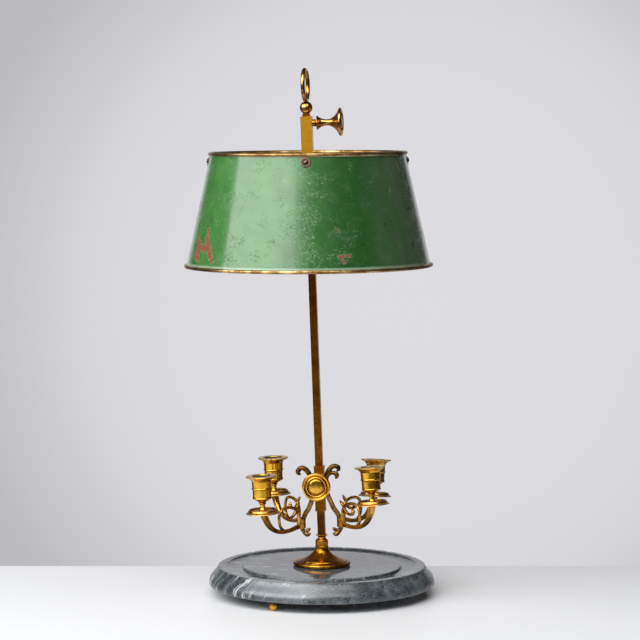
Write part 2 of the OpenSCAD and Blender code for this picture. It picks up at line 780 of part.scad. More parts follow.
module shade_rim(radius, depth) {
    color("#8a6a35") on_shade() translate([0, 0, -depth]) rotate_extrude($fn = fine)
        translate([radius - rim_bead_r, 0]) circle(r = rim_bead_r, $fn = round_fn);
}

module shade_top_rim() shade_rim(shade_top_r, 0);
module shade_bottom_rim() shade_rim(shade_bottom_r, shade_h);

module shade_screws() {
    for (turn = spider_turns) color(brass) at_shade_screw(turn)
        translate([0.1 + washer_t, 0, 0]) rotate([0, 90, 0]) rotate_extrude($fn = round_fn) polygon([
            [0, -shade_screw_in - washer_t],
            [shade_screw_r, -shade_screw_in - washer_t],
            [shade_screw_r, 0],
            [shade_head_r, 0],
            each [for (a = [0:15:90])
                [shade_head_r * cos(a), 0.4 + 1.8 * sin(a)]]
        ]);
}

module shade_washers() {
    for (turn = spider_turns) color(old_brass) at_shade_screw(turn)
        translate([0.1, 0, 0]) rotate([0, 90, 0]) difference() {
            cylinder(r = shade_washer_r, h = washer_t, $fn = round_fn);
            translate([0, 0, -1]) cylinder(r = shade_screw_r + fit, h = washer_t + 2, $fn = round_fn);
        }
}

module shade_nuts() {
    for (turn = spider_turns) color(old_brass) at_shade_screw(turn)
        translate([-sheet_t - 0.1 - spider_t - nut_h, 0, 0]) rotate([0, 90, 0]) difference() {
            cylinder(r = shade_nut_r, h = nut_h, $fn = 6);
            translate([0, 0, -1]) cylinder(r = shade_screw_r + fit, h = nut_h + 2, $fn = round_fn);
        }
}

// ---- Assembly ------------------------------------------------------------------------

marble_base();
ball_feet();
stem_foot();
stem();
tie_washer();
tie_nut();
ring_handle();
branch_collar();
bracket(left);  // bracket_left
bracket(right);  // bracket_right
boss_pins();
arm(front_left);  // arm_front_left
arm(back_left);  // arm_back_left
arm(front_right);  // arm_front_right
arm(back_right);  // arm_back_right
pan(front_left);  // pan_front_left
pan(back_left);  // pan_back_left
pan(front_right);  // pan_front_right
pan(back_right);  // pan_back_right
nozzle(front_left);  // nozzle_front_left
nozzle(back_left);  // nozzle_back_left
nozzle(front_right);  // nozzle_front_right
nozzle(back_right);  // nozzle_back_right
branch_thumbscrew();
shade_sleeve();
shade_spider();
shade_shell();
shade_top_rim();
shade_bottom_rim();
shade_screws();
shade_washers();
shade_nuts();
shade_thumbscrew();
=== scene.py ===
"""Looks of a bouillotte lamp: cast and turned brass, polished grey marble and a lacquered tole shade.

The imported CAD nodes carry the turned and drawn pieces. The marble slab, the cast scroll arms and
brackets, and the shade's sheet, screws and washers are modelled here on the same sizes. Metres, +Z
up, front towards -Y.
"""

import math

import bpy
import numpy as np
from mathutils import Matrix, Vector, noise


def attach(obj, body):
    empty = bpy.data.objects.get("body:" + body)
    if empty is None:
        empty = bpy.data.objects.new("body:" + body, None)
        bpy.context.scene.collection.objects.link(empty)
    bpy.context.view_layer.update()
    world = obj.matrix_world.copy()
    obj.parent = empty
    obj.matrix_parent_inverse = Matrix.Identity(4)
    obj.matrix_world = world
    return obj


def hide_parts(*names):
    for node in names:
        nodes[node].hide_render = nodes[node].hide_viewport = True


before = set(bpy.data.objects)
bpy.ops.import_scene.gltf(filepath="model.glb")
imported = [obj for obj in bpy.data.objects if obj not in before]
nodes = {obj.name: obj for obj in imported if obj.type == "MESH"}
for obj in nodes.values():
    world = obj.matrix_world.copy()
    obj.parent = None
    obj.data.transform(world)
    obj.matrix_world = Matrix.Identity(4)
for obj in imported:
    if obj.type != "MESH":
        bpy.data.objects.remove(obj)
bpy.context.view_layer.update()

MM = 0.001

# ---- Sizes of the lamp, in millimetres and degrees ---------------------------------------

BASE_R, BASE_TOP_R, BASE_H = 142.5, 131, 23.7
PLATEAU_R, RIM_W, CHANNEL_D = 100, 10.5, 3
RECESS_R, RECESS_D, BASE_HOLE_R = 17, 10, 4.2
FEET_H = 5.45 * (1 + math.sin(math.radians(55))) + 2.1
LIP_Z = FEET_H + BASE_H + 38.9  # the bar stands on the foot's lip here
STEM_LEAN = 2.1
BRANCH_AT = 59.4  # middle of the brackets over the lip
COLLAR_HALF = 12.4 / 2
BOSS_OUT, BOSS_DOWN, BOSS_R, BOSS_H = 25.5, 44, 5.6, 13
ARM_REACH, ARM_RISE = 65, 26
ARM_R, SCROLL_R = 2.65, 1.9
BRACKET_R, BRACKET_RISE, BRACKET_DROP = 3.1, 27.6, 15.2
STRUT_IN = {-1: 0.06, 1: 0.015}  # the left strut stands closer to the bar
ARMS = {  # side, spread, height of the root, droop, lean of the nozzle
    "front_left": (-1, 180 + 51, -4, 1, 1),
    "back_left": (-1, 180 - 52, 3, -0.7, -0.5),
    "front_right": (1, -45, -3.2, -4.7, -3.4),
    "back_right": (1, 55.5, 3.6, 5.4, 6.6),
}
SHADE_RIM_AT = 526.2 - 45.7
SHADE_TRIM, SPIDER_TURN = 1.7, 5.4
SHADE_TOP_R, SHADE_BOTTOM_R, SHADE_H = 124.6, 155.8, 139.5
SHADE_SLOPE = (SHADE_BOTTOM_R - SHADE_TOP_R) / SHADE_H
SHADE_MIDDLE_R = 140
RIM_R, SHEET_IN, SHEET_T = 2.2, 1.2, 0.8
SCREW_DOWN, SCREW_OUT = 9, 0.1  # below the shade's top, and how far a washer stands off the sheet
PAN_FLOOR, NOZZLE_H, CANDLE_R, CANDLE_D = 2.6, 44.5, 10.5, 27
CAST_GRAIN, CAST_ROUNDS = 0.34, 5  # how fine a casting is modelled, and how often it is smoothed
SWEEP_STEPS = 8  # stations between two points of an outline


# ---- Places ------------------------------------------------------------------------------


def at(x=0, y=0, z=0):
    return Matrix.Translation(Vector((x, y, z)))


def turn(degrees, axis):
    return Matrix.Rotation(math.radians(degrees), 4, axis)


def on_bar(height):
    """The leaning bar, at a height over the foot's lip."""
    return at(z=LIP_Z) @ turn(-STEM_LEAN, "Y") @ at(z=height)


def at_boss(side):
    return on_bar(BRANCH_AT) @ at(side * BOSS_OUT, 0, -BOSS_DOWN)


def at_arm(which):
    side, azimuth, seat, droop, _ = ARMS[which]
    return at_boss(side) @ at(z=seat) @ turn(azimuth, "Z") @ turn(droop, "Y")


def at_arm_end(which):
    _, _, _, droop, lean = ARMS[which]
    return at_arm(which) @ at(ARM_REACH, 0, ARM_RISE) @ turn(lean - droop, "Y")


def on_shade():
    return on_bar(SHADE_RIM_AT) @ turn(SHADE_TRIM, "Y") @ turn(SPIDER_TURN, "Z")


def moved(points, place):
    """Points in millimetres, put in their place, in metres."""
    m = np.array(place)
    return (np.asarray(points, float) @ m[:3, :3].T + m[:3, 3]) * MM


# ---- Meshes ------------------------------------------------------------------------------


def linked(name, data):
    """A new object in the scene."""
    made = bpy.data.objects.new(name, data)
    bpy.context.scene.collection.objects.link(made)
    return made


def mesh_of(name, points, faces):
    mesh = bpy.data.meshes.new(name)
    mesh.from_pydata([tuple(p) for p in points], [], [tuple(f) for f in faces])
    return mesh


def new_piece(name, points, faces, materials, body, replaced):
    """A mesh piece at the origin that rides on a body and stands for CAD nodes."""
    mesh = mesh_of(name, points, faces)
    for material in materials:
        mesh.materials.append(material)
    return declared(linked(name, mesh), body, replaced)


def declared(piece, body, replaced):
    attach(piece, body)
    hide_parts(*replaced)
    return piece


def smooth(mesh, angle):
    """Smooth shading that keeps edges sharper than an angle."""
    mesh.shade_smooth()
    mesh.set_sharp_from_angle(angle=math.radians(angle))


def curve(points, steps):
    """A smooth curve through the points."""
    p = np.asarray(points, float)
    out = []
    for i in range(len(p) - 1):
        a, b, c, d = p[max(i - 1, 0)], p[i], p[i + 1], p[min(i + 2, len(p) - 1)]
        for t in np.arange(steps) / steps:
            out.append(
                (2 * b + (c - a) * t + (2 * a - 5 * b + 4 * c - d) * t**2
                 + (3 * b - a - 3 * c + d) * t**3) / 2
            )
    return np.array(out + [p[-1]])


def round_section():
    a = np.linspace(0, 2 * np.pi, 16, endpoint=False)
    return np.stack([np.cos(a), np.sin(a)], 1)


REEDED = curve(
    [[1, 0], [0.86, 0.6], [0.5, 0.88], [0, 0.6], [-0.5, 0.88], [-0.86, 0.6],
     [-1, 0], [-0.86, -0.6], [-0.5, -0.88], [0, -0.6], [0.5, -0.88], [0.86, -0.6], [1, 0]],
    3,
)[:-1]


def quads(rings, count, start=0, closed=False):
    """The faces between rings of count points each, numbered from start. Closed: the last ring meets
    the first one."""
    faces = []
    for j in range(rings if closed else rings - 1):
        low, high = start + j * count, start + (j + 1) % rings * count
        for k in range(count):
            after = (k + 1) % count
            faces.append((low + k, low + after, high + after, high + k))
    return faces


def swept_bar(points, section):
    """A bar of changing thickness along a curve in the XZ plane, with rounded ends."""
    path = curve(points, SWEEP_STEPS)
    along = np.gradient(path[:, :2], axis=0)
    along /= np.linalg.norm(along, axis=1)[:, None]
    rings = []
    ends = [(0, -1), (len(path) - 1, 1)]
    stations = [(i, 1.0, 0.0) for i in range(len(path))]
    for i, sign in ends:  # a half-round cap at each end
        cap = [(i, math.cos(a), sign * math.sin(a)) for a in (0.5, 1.0, 1.35)]
        stations = cap[::-1] + stations if sign < 0 else stations + cap
    for i, share, ahead in stations:
        x, z, r = path[i]
        u = along[i]
        s = section * share * r
        rings.append(
            np.stack([x - u[1] * s[:, 0] + u[0] * ahead * r, s[:, 1],
                      z + u[0] * s[:, 0] + u[1] * ahead * r], 1)
        )
    n, m = len(rings), len(section)
    caps = [tuple(range(m - 1, -1, -1)), tuple((n - 1) * m + k for k in range(m))]
    faces = quads(n, m) + caps
    return np.concatenate(rings), faces


def turned(profile, count=48):
    """A closed body turned round Z from [radius, height] points that start and end on the axis."""
    profile = np.asarray(profile, float)
    inner = profile[1:-1]
    a = np.linspace(0, 2 * np.pi, count, endpoint=False)
    points = [[0, 0, profile[0][1]], [0, 0, profile[-1][1]]]
    points += [[r * math.cos(t), r * math.sin(t), z] for r, z in inner for t in a]
    last = 2 + (len(inner) - 1) * count
    after = [(k + 1) % count for k in range(count)]
    faces = [(0, 2 + after[k], 2 + k) for k in range(count)]
    faces += quads(len(inner), count, start=2)
    faces += [(1, last + k, last + after[k]) for k in range(count)]
    return np.array(points), faces


def together(parts):
    points, faces, start = [], [], 0
    for p, f in parts:
        points.append(np.asarray(p, float))
        faces += [tuple(start + i for i in face) for face in f]
        start += len(p)
    return np.concatenate(points), faces


def cast(name, parts, place, material):
    """Fuses overlapping bodies into one casting with soft fillets. Returns its object."""
    points, faces = together(parts)
    mesh = mesh_of(name, moved(points, place), faces)
    mesh.materials.append(material)
    rough = linked(name + "_rough", mesh)
    fuse = rough.modifiers.new("fuse", "REMESH")
    fuse.mode = "VOXEL"
    fuse.voxel_size = CAST_GRAIN * MM
    fuse.use_smooth_shade = True
    soften = rough.modifiers.new("soften", "SMOOTH")
    soften.factor = 0.5
    soften.iterations = CAST_ROUNDS
    depsgraph = bpy.context.evaluated_depsgraph_get()
    fused = bpy.data.meshes.new_from_object(rough.evaluated_get(depsgraph))
    fused.name = name
    bpy.data.objects.remove(rough)
    bpy.data.meshes.remove(mesh)
    fused.shade_smooth()
    return linked(name, fused)


def vertices(piece, place):
    """A piece's points in millimetres, in a place's own frame."""
    co = np.empty(len(piece.data.vertices) * 3)
    piece.data.vertices.foreach_get("co", co)
    m = np.array(place.inverted())
    return co.reshape(-1, 3) / MM @ m[:3, :3].T + m[:3, 3]


def set_vertices(piece, points, place):
    piece.data.vertices.foreach_set("co", moved(points, place).ravel())
    piece.data.update()


# ---- Materials ---------------------------------------------------------------------------


def shade_of(hex_colour):
    """An sRGB colour such as c89b4a, as linear values."""
    v = [int(hex_colour[i : i + 2], 16) / 255 for i in (0, 2, 4)]
    return tuple(c / 12.92 if c <= 0.04045 else ((c + 0.055) / 1.055) ** 2.4 for c in v) + (1.0,)


def add(tree, kind, inputs=(), stops=(), **settings):
    """Adds a node. inputs are the values of its live sockets in their order, or of some of its sockets
    by name: a plain value, a socket to link from, or a node, which is linked from its first live
    output. stops are a ramp's places and colours, and settings are the node's own properties."""
    made = tree.nodes.new(kind)
    for name, value in settings.items():
        setattr(made, name, value)
    if stops:
        elements = made.color_ramp.elements
        while len(elements) < len(stops):
            elements.new(0.5)
        for element, (place, colour) in zip(elements, stops):
            element.position = place
            element.color = shade_of(colour)
    if isinstance(inputs, dict):
        pairs = [(made.inputs[name], value) for name, value in inputs.items()]
    else:
        pairs = zip([socket for socket in made.inputs if socket.enabled], inputs)
    for socket, value in pairs:
        if isinstance(value, bpy.types.Node):
            value = next(output for output in value.outputs if output.enabled)
        if isinstance(value, bpy.types.NodeSocket):
            tree.links.new(value, socket)
        else:
            socket.default_value = value
    return made


def start_material(name):
    """A new material, its node tree, and the sockets with each point's place and normal."""
    material = bpy.data.materials.new(name)
    material.use_nodes = True
    tree = material.node_tree
    tree.nodes.clear()
    point = add(tree, "ShaderNodeTexCoord")
    return material, tree, point.outputs["Object"], point.outputs["Normal"]


def end_material(tree, inputs):
    surface = add(tree, "ShaderNodeBsdfPrincipled", inputs)
    add(tree, "ShaderNodeOutputMaterial", {"Surface": surface})


def seen_from(piece_place, point):
    """What a mapping node needs to turn a point's place into one in a piece's own frame."""
    inverse = piece_place.inverted()
    return {"Vector": point, "Location": tuple(inverse.to_translation() * MM),
            "Rotation": tuple(inverse.to_euler())}


def off_middle(tree, value, middle):
    """How far a value is from a middle one, either way."""
    difference = add(tree, "ShaderNodeMath", [value, middle], operation="SUBTRACT")
    return add(tree, "ShaderNodeMath", [difference], operation="ABSOLUTE")


def brass(name, bright, middle, dark, rough, tarnish, hollow=5.0, soiled_at=(0.92, 0.3), worn=0.9,
          green=None, pitted=0.5, wavy=0.5, darker=None, sockets=()):
    """Brass with brown tarnish in its hollows and a clean shine on its high places.

    bright, middle and dark are the colours from rubbed metal to old lacquer and dirt; tarnish is how
    far the brown creeps out of the hollows. A hollow is looked for over hollow mm, and is soiled from
    clean to dark between the two shares of open sky in soiled_at. green lays verdigris on what faces
    up, pitted is how dark the casting pits are, and wavy is how uneven the file left it. darker is two
    heights over the table, between which the colour darkens, and by how much. sockets are the places
    of candle nozzles, whose bores are dull and dark green.
    """
    material, tree, place, normal = start_material(name)
    # Slow tarnish in clouds of about 16 mm, with blotches of about 4 mm over them
    clouds = add(tree, "ShaderNodeTexNoise", {"Vector": place, "Scale": 62, "Detail": 3, "Roughness": 0.5})
    blotches = add(tree, "ShaderNodeTexNoise",
                   {"Vector": place, "Scale": 260, "Detail": 4, "Roughness": 0.55})
    spread = add(tree, "ShaderNodeMath", [blotches, 0.45, clouds], operation="MULTIPLY_ADD")
    uneven = add(tree, "ShaderNodeMapRange", [spread, 0.55, 0.92])
    hollows = add(tree, "ShaderNodeAmbientOcclusion", {"Distance": hollow * MM}, only_local=True, samples=12)
    dirt = add(tree, "ShaderNodeMapRange", [hollows.outputs["AO"], soiled_at[0], soiled_at[1]])
    weight = add(tree, "ShaderNodeMath", [uneven, tarnish, dirt], operation="MULTIPLY_ADD")
    # The colour darkens between two heights over the table; on the collar this is painted shade
    if darker:
        start, full, growth = darker
        level = add(tree, "ShaderNodeSeparateXYZ", [place])
        grown = add(tree, "ShaderNodeMapRange", [level.outputs["Z"], start * MM, full * MM, 0, growth])
        weight = add(tree, "ShaderNodeMath", [weight, grown], operation="ADD")
    # Handling rubs the edges bright: rays cast inwards meet the far side soon there
    edges = add(tree, "ShaderNodeAmbientOcclusion", {"Distance": 1.4 * MM}, only_local=True, inside=True,
                samples=12)
    rubbed = add(tree, "ShaderNodeMapRange", [edges.outputs["AO"], 0.62, 0.25, 0, worn])
    kept = add(tree, "ShaderNodeMath", [weight, rubbed], operation="SUBTRACT", use_clamp=True)
    # Casting pits about 1 mm across, dark with dirt
    grains = add(tree, "ShaderNodeTexNoise", {"Vector": place, "Scale": 900, "Detail": 2, "Roughness": 0.5})
    pits = add(tree, "ShaderNodeMapRange", [grains, 0.66, 0.74, 0, pitted])
    soiled = add(tree, "ShaderNodeMath", [kept, pits], operation="ADD", use_clamp=True)
    base = add(tree, "ShaderNodeValToRGB", {"Fac": soiled},
               stops=[(0.0, bright), (0.45, middle), (1.0, dark)])
    gloss = add(tree, "ShaderNodeMapRange", [soiled, 0, 1, rough[0], rough[1]])
    metal = add(tree, "ShaderNodeMapRange", [soiled, 0.7, 1.2, 1, 0.55])
    # Each film lies over the metal: where, its colour, how much duller it is and how much it hides
    films = []
    if green:
        up = add(tree, "ShaderNodeSeparateXYZ", [normal])
        flat = add(tree, "ShaderNodeMapRange", [up.outputs["Z"], 0.6, 0.95])
        patchy = add(tree, "ShaderNodeMapRange", [spread, 0.55, 0.85, 0.1, 0.8])
        bloom = add(tree, "ShaderNodeMath", [flat, patchy], operation="MULTIPLY")
        films.append((bloom, green, 0.25, -0.7))
    # A bore is what lies near its nozzle's axis, above its floor
    bores = None
    bottom = PAN_FLOOR + NOZZLE_H - CANDLE_D
    for socket in sockets:
        own = add(tree, "ShaderNodeMapping", seen_from(socket, place))
        height = add(tree, "ShaderNodeSeparateXYZ", [own])
        flat_place = add(tree, "ShaderNodeVectorMath", [own, (1, 1, 0)], operation="MULTIPLY")
        off_axis = add(tree, "ShaderNodeVectorMath", [flat_place], operation="LENGTH")
        near = add(tree, "ShaderNodeMapRange", [off_axis, (CANDLE_R + 0.95) * MM, (CANDLE_R + 0.6) * MM])
        above = add(tree, "ShaderNodeMapRange", [height.outputs["Z"], bottom * MM, (bottom + 0.5) * MM])
        bore = add(tree, "ShaderNodeMath", [near, above], operation="MULTIPLY")
        bores = add(tree, "ShaderNodeMath", [bores, bore], operation="MAXIMUM") if bores else bore
    if bores:
        films.append((bores, "3b4a26", 0.35, -0.85))
    for where, colour, dull, hide in films:
        base = add(tree, "ShaderNodeMix", [where, base, shade_of(colour)], data_type="RGBA")
        gloss = add(tree, "ShaderNodeMath", [where, dull, gloss], operation="MULTIPLY_ADD")
        metal = add(tree, "ShaderNodeMath", [where, hide, metal], operation="MULTIPLY_ADD", use_clamp=True)
    # A hand-filed surface waves a little, and each pit is a small hole
    filed = add(tree, "ShaderNodeMath", [blotches, 1.0, clouds], operation="MULTIPLY_ADD")
    relief = add(tree, "ShaderNodeMath", [pits, -0.8, filed], operation="MULTIPLY_ADD")
    bump = add(tree, "ShaderNodeBump", {"Height": relief, "Distance": 0.12 * MM, "Strength": wavy})
    end_material(tree, {"Base Color": base, "Metallic": metal, "Roughness": gloss, "Normal": bump})
    return material


def bardiglio():
    """Bardiglio marble, sawn, turned and polished: dark blue-grey, bedded, with pale slanting veins.

    The polish gives mirror reflections on the flats, and worn edges show a paler, duller stone.
    """
    material, tree, place, normal = start_material("Bardiglio_marble_polished")
    warp = add(tree, "ShaderNodeTexNoise", {"Vector": place, "Scale": 9, "Detail": 4, "Roughness": 0.55})
    pushed = add(tree, "ShaderNodeVectorMath", [warp.outputs["Color"], (0.014, 0.014, 0.014), place],
                 operation="MULTIPLY_ADD")
    # Steep bedding planes that run from side to side: everything in the stone is drawn out along them
    dip = Vector((-0.19, 0.97, 0.1)).to_track_quat("X", "Z").to_euler()
    bedded = add(tree, "ShaderNodeMapping", {"Vector": pushed, "Rotation": tuple(dip), "Scale": (1, 12, 12)},
                 vector_type="TEXTURE")
    # Streaks 4 to 9 mm thick
    streaks = add(tree, "ShaderNodeTexNoise", {"Vector": bedded, "Scale": 120, "Detail": 6, "Roughness": 0.6})
    stone = add(tree, "ShaderNodeValToRGB", {"Fac": streaks},
                stops=[(0.38, "1e2427"), (0.48, "2f3639"), (0.57, "454d51"), (0.7, "7a8386")])
    # Clouds of 10 to 30 mm, which are finer in grain and more even than the streaks
    clouds = add(tree, "ShaderNodeTexNoise",
                 {"Vector": pushed, "Scale": 52, "Detail": 9, "Roughness": 0.7, "Distortion": 0.5})
    cloud = add(tree, "ShaderNodeValToRGB", {"Fac": clouds},
                stops=[(0.36, "1c2226"), (0.5, "383f42"), (0.64, "6b7376")])
    along = add(tree, "ShaderNodeSeparateXYZ", [place])
    left = add(tree, "ShaderNodeMapRange", [along.outputs["X"], 0.03, -0.11, 0.25, 1])
    stone = add(tree, "ShaderNodeMix", [left, cloud, stone], data_type="RGBA")
    # White veins: thin lines where a slow pattern crosses its middle, thick and close together on the left
    vein_field = add(tree, "ShaderNodeTexNoise",
                     {"Vector": bedded, "Scale": 62, "Detail": 5, "Roughness": 0.5})
    off_line = off_middle(tree, vein_field, 0.5)
    broken = add(tree, "ShaderNodeTexNoise", {"Vector": place, "Scale": 34, "Detail": 3})
    thick = add(tree, "ShaderNodeMapRange", [broken, 0.44, 0.7, 0.0, 0.028])
    thick = add(tree, "ShaderNodeMath", [thick, left], operation="MULTIPLY")
    on_line = add(tree, "ShaderNodeMath", [thick, off_line], operation="SUBTRACT")
    vein = add(tree, "ShaderNodeMapRange", [on_line, 0.0, 0.008, 0, 0.9])
    # A painted highlight: a pale patch across the front, a little above the toe, stands in for the reflection
    # of the light in front, and the toe below it stays dark
    painted_highlight_middle = (-0.03, -0.138, 0.022)
    off_painted_highlight = add(tree, "ShaderNodeVectorMath", [pushed, painted_highlight_middle], operation="DISTANCE")
    painted_highlight = add(tree, "ShaderNodeMapRange", [off_painted_highlight, 0.072, 0.035, 0, 0.36])
    above_toe = add(tree, "ShaderNodeMapRange", [along.outputs["Z"], (FEET_H + 4) * MM, (FEET_H + 9) * MM])
    painted_highlight = add(tree, "ShaderNodeMath", [painted_highlight, above_toe], operation="MULTIPLY")
    # Crystals of 1 to 2 mm catch the light
    crystals = add(tree, "ShaderNodeTexNoise", {"Vector": place, "Scale": 620, "Detail": 4, "Roughness": 0.7})
    sparkle = add(tree, "ShaderNodeMapRange", [crystals, 0.48, 0.7, 0.0, 0.7])
    # Knocked edges: paler and dull
    edges = add(tree, "ShaderNodeAmbientOcclusion", {"Distance": 3 * MM}, only_local=True, inside=True,
                samples=12)
    knocks = add(tree, "ShaderNodeTexNoise", {"Vector": place, "Scale": 210, "Detail": 5, "Roughness": 0.7})
    edge = add(tree, "ShaderNodeMapRange", [edges.outputs["AO"], 0.7, 0.4])
    knocked = add(tree, "ShaderNodeMapRange", [knocks, 0.5, 0.6, 0, 0.8])
    worn = add(tree, "ShaderNodeMath", [edge, knocked], operation="MULTIPLY")
    # Veins, the painted highlight, crystals and knocked edges laid over the stone
    for where, colour in ((vein, "c6cbcc"), (painted_highlight, "aab1b4"), (sparkle, "8c9497"), (worn, "a4acae")):
        stone = add(tree, "ShaderNodeMix", [where, stone, shade_of(colour)], data_type="RGBA")
    smears = add(tree, "ShaderNodeTexNoise", {"Vector": place, "Scale": 55, "Detail": 5, "Roughness": 0.65})
    polish = add(tree, "ShaderNodeMapRange", [smears, 0.4, 0.75, 0.06, 0.17])
    # The flats were polished best
    up = add(tree, "ShaderNodeSeparateXYZ", [normal])
    sloping = add(tree, "ShaderNodeMapRange", [up.outputs["Z"], 0.98, 0.8, 0, 0.16])
    polish = add(tree, "ShaderNodeMath", [sloping, polish], operation="ADD")
    gloss = add(tree, "ShaderNodeMath", [worn, 0.35, polish], operation="MULTIPLY_ADD")
    # Dull little bruises 2 to 4 mm across, in patches, and scratches that run with the streaks
    bruises = add(tree, "ShaderNodeTexNoise", {"Vector": place, "Scale": 240, "Detail": 3, "Roughness": 0.6})
    bruise = add(tree, "ShaderNodeMapRange", [bruises, 0.6, 0.68])
    bruised = add(tree, "ShaderNodeMapRange", [smears, 0.5, 0.62, 0.1, 1])
    bruise = add(tree, "ShaderNodeMath", [bruise, bruised], operation="MULTIPLY")
    gloss = add(tree, "ShaderNodeMath", [bruise, 0.4, gloss], operation="MULTIPLY_ADD")
    relief = add(tree, "ShaderNodeMath", [worn, -0.8, bruise], operation="MULTIPLY_ADD")
    relief = add(tree, "ShaderNodeMath", [streaks, -0.35, relief], operation="MULTIPLY_ADD")
    bump = add(tree, "ShaderNodeBump", {"Height": relief, "Distance": 0.05 * MM, "Strength": 0.3})
    end_material(tree, {"Base Color": stone, "Roughness": gloss, "IOR": 1.62, "Normal": bump})
    return material


# Places where the lacquer has flaked off, as strokes on the sheet rolled out flat:
# from and to (degrees round the shade from the front, mm over the table), and half width in mm
FLAKES = [
    ((-53.0, 464), (-52.2, 452), 2.2),
    ((-52.2, 452), (-50.4, 442), 4.6),
    ((-51.0, 446), (-46.6, 431), 4.6),
    ((-46.6, 432), (-45.0, 425), 2.8),
    ((-61.4, 449), (-58.6, 443), 3.6),
    ((-58.6, 443), (-60.8, 431), 5.8),
    ((-61.6, 433), (-58.0, 426), 3.8),
    ((-58.4, 441), (-51.0, 440), 3.8),
    ((20.6, 434), (26.4, 435.5), 1.5),
    ((21.8, 432.5), (23.0, 427.5), 1.5),
    ((20.0, 468.5), (21.6, 464), 0.6),
    ((67.0, 546), (68.5, 536), 0.9),
    ((55.9, 512), (55.6, 509), 0.8),
]
# Dents and pits that show as small dark marks, as strokes too
PITS = [
    ((75, 530), (79, 530.5), 1.5),
    ((76, 512), (80, 512.5), 1.3),
    ((70, 487), (74, 487.5), 1.7),
    ((66, 441), (68, 448), 0.9),
    ((84, 438), (86.5, 441), 1.6),
    ((-10, 452), (-10, 453), 0.9),
    ((48, 470), (48, 471), 1.0),
    ((-34, 474), (-33, 474), 0.8),
    ((33, 447), (33.5, 448), 0.9),
]


def off_strokes(tree, place, strokes):
    """How far a place on the flat sheet is from the edge of the nearest stroke, in mm, negative inside it."""
    nearest = None
    for (a0, h0), (a1, h1), half in strokes:
        start = (math.radians(a0) * SHADE_MIDDLE_R, h0, 0)
        run = (math.radians(a1 - a0) * SHADE_MIDDLE_R or 0.01, h1 - h0, 0)
        length2 = run[0] ** 2 + run[1] ** 2
        away = add(tree, "ShaderNodeVectorMath", [place, start], operation="SUBTRACT")
        on_run = add(tree, "ShaderNodeVectorMath", [away, (run[0] / length2, run[1] / length2, 0)],
                     operation="DOT_PRODUCT")
        held = add(tree, "ShaderNodeMath", [on_run, 1.0], operation="MULTIPLY", use_clamp=True)
        point = add(tree, "ShaderNodeVectorMath", [run, held], operation="SCALE")
        gap = add(tree, "ShaderNodeVectorMath", [away, point], operation="DISTANCE")
        clear = add(tree, "ShaderNodeMath", [gap, half], operation="SUBTRACT")
        nearest = add(tree, "ShaderNodeMath", [nearest, clear], operation="MINIMUM") if nearest else clear
    return nearest


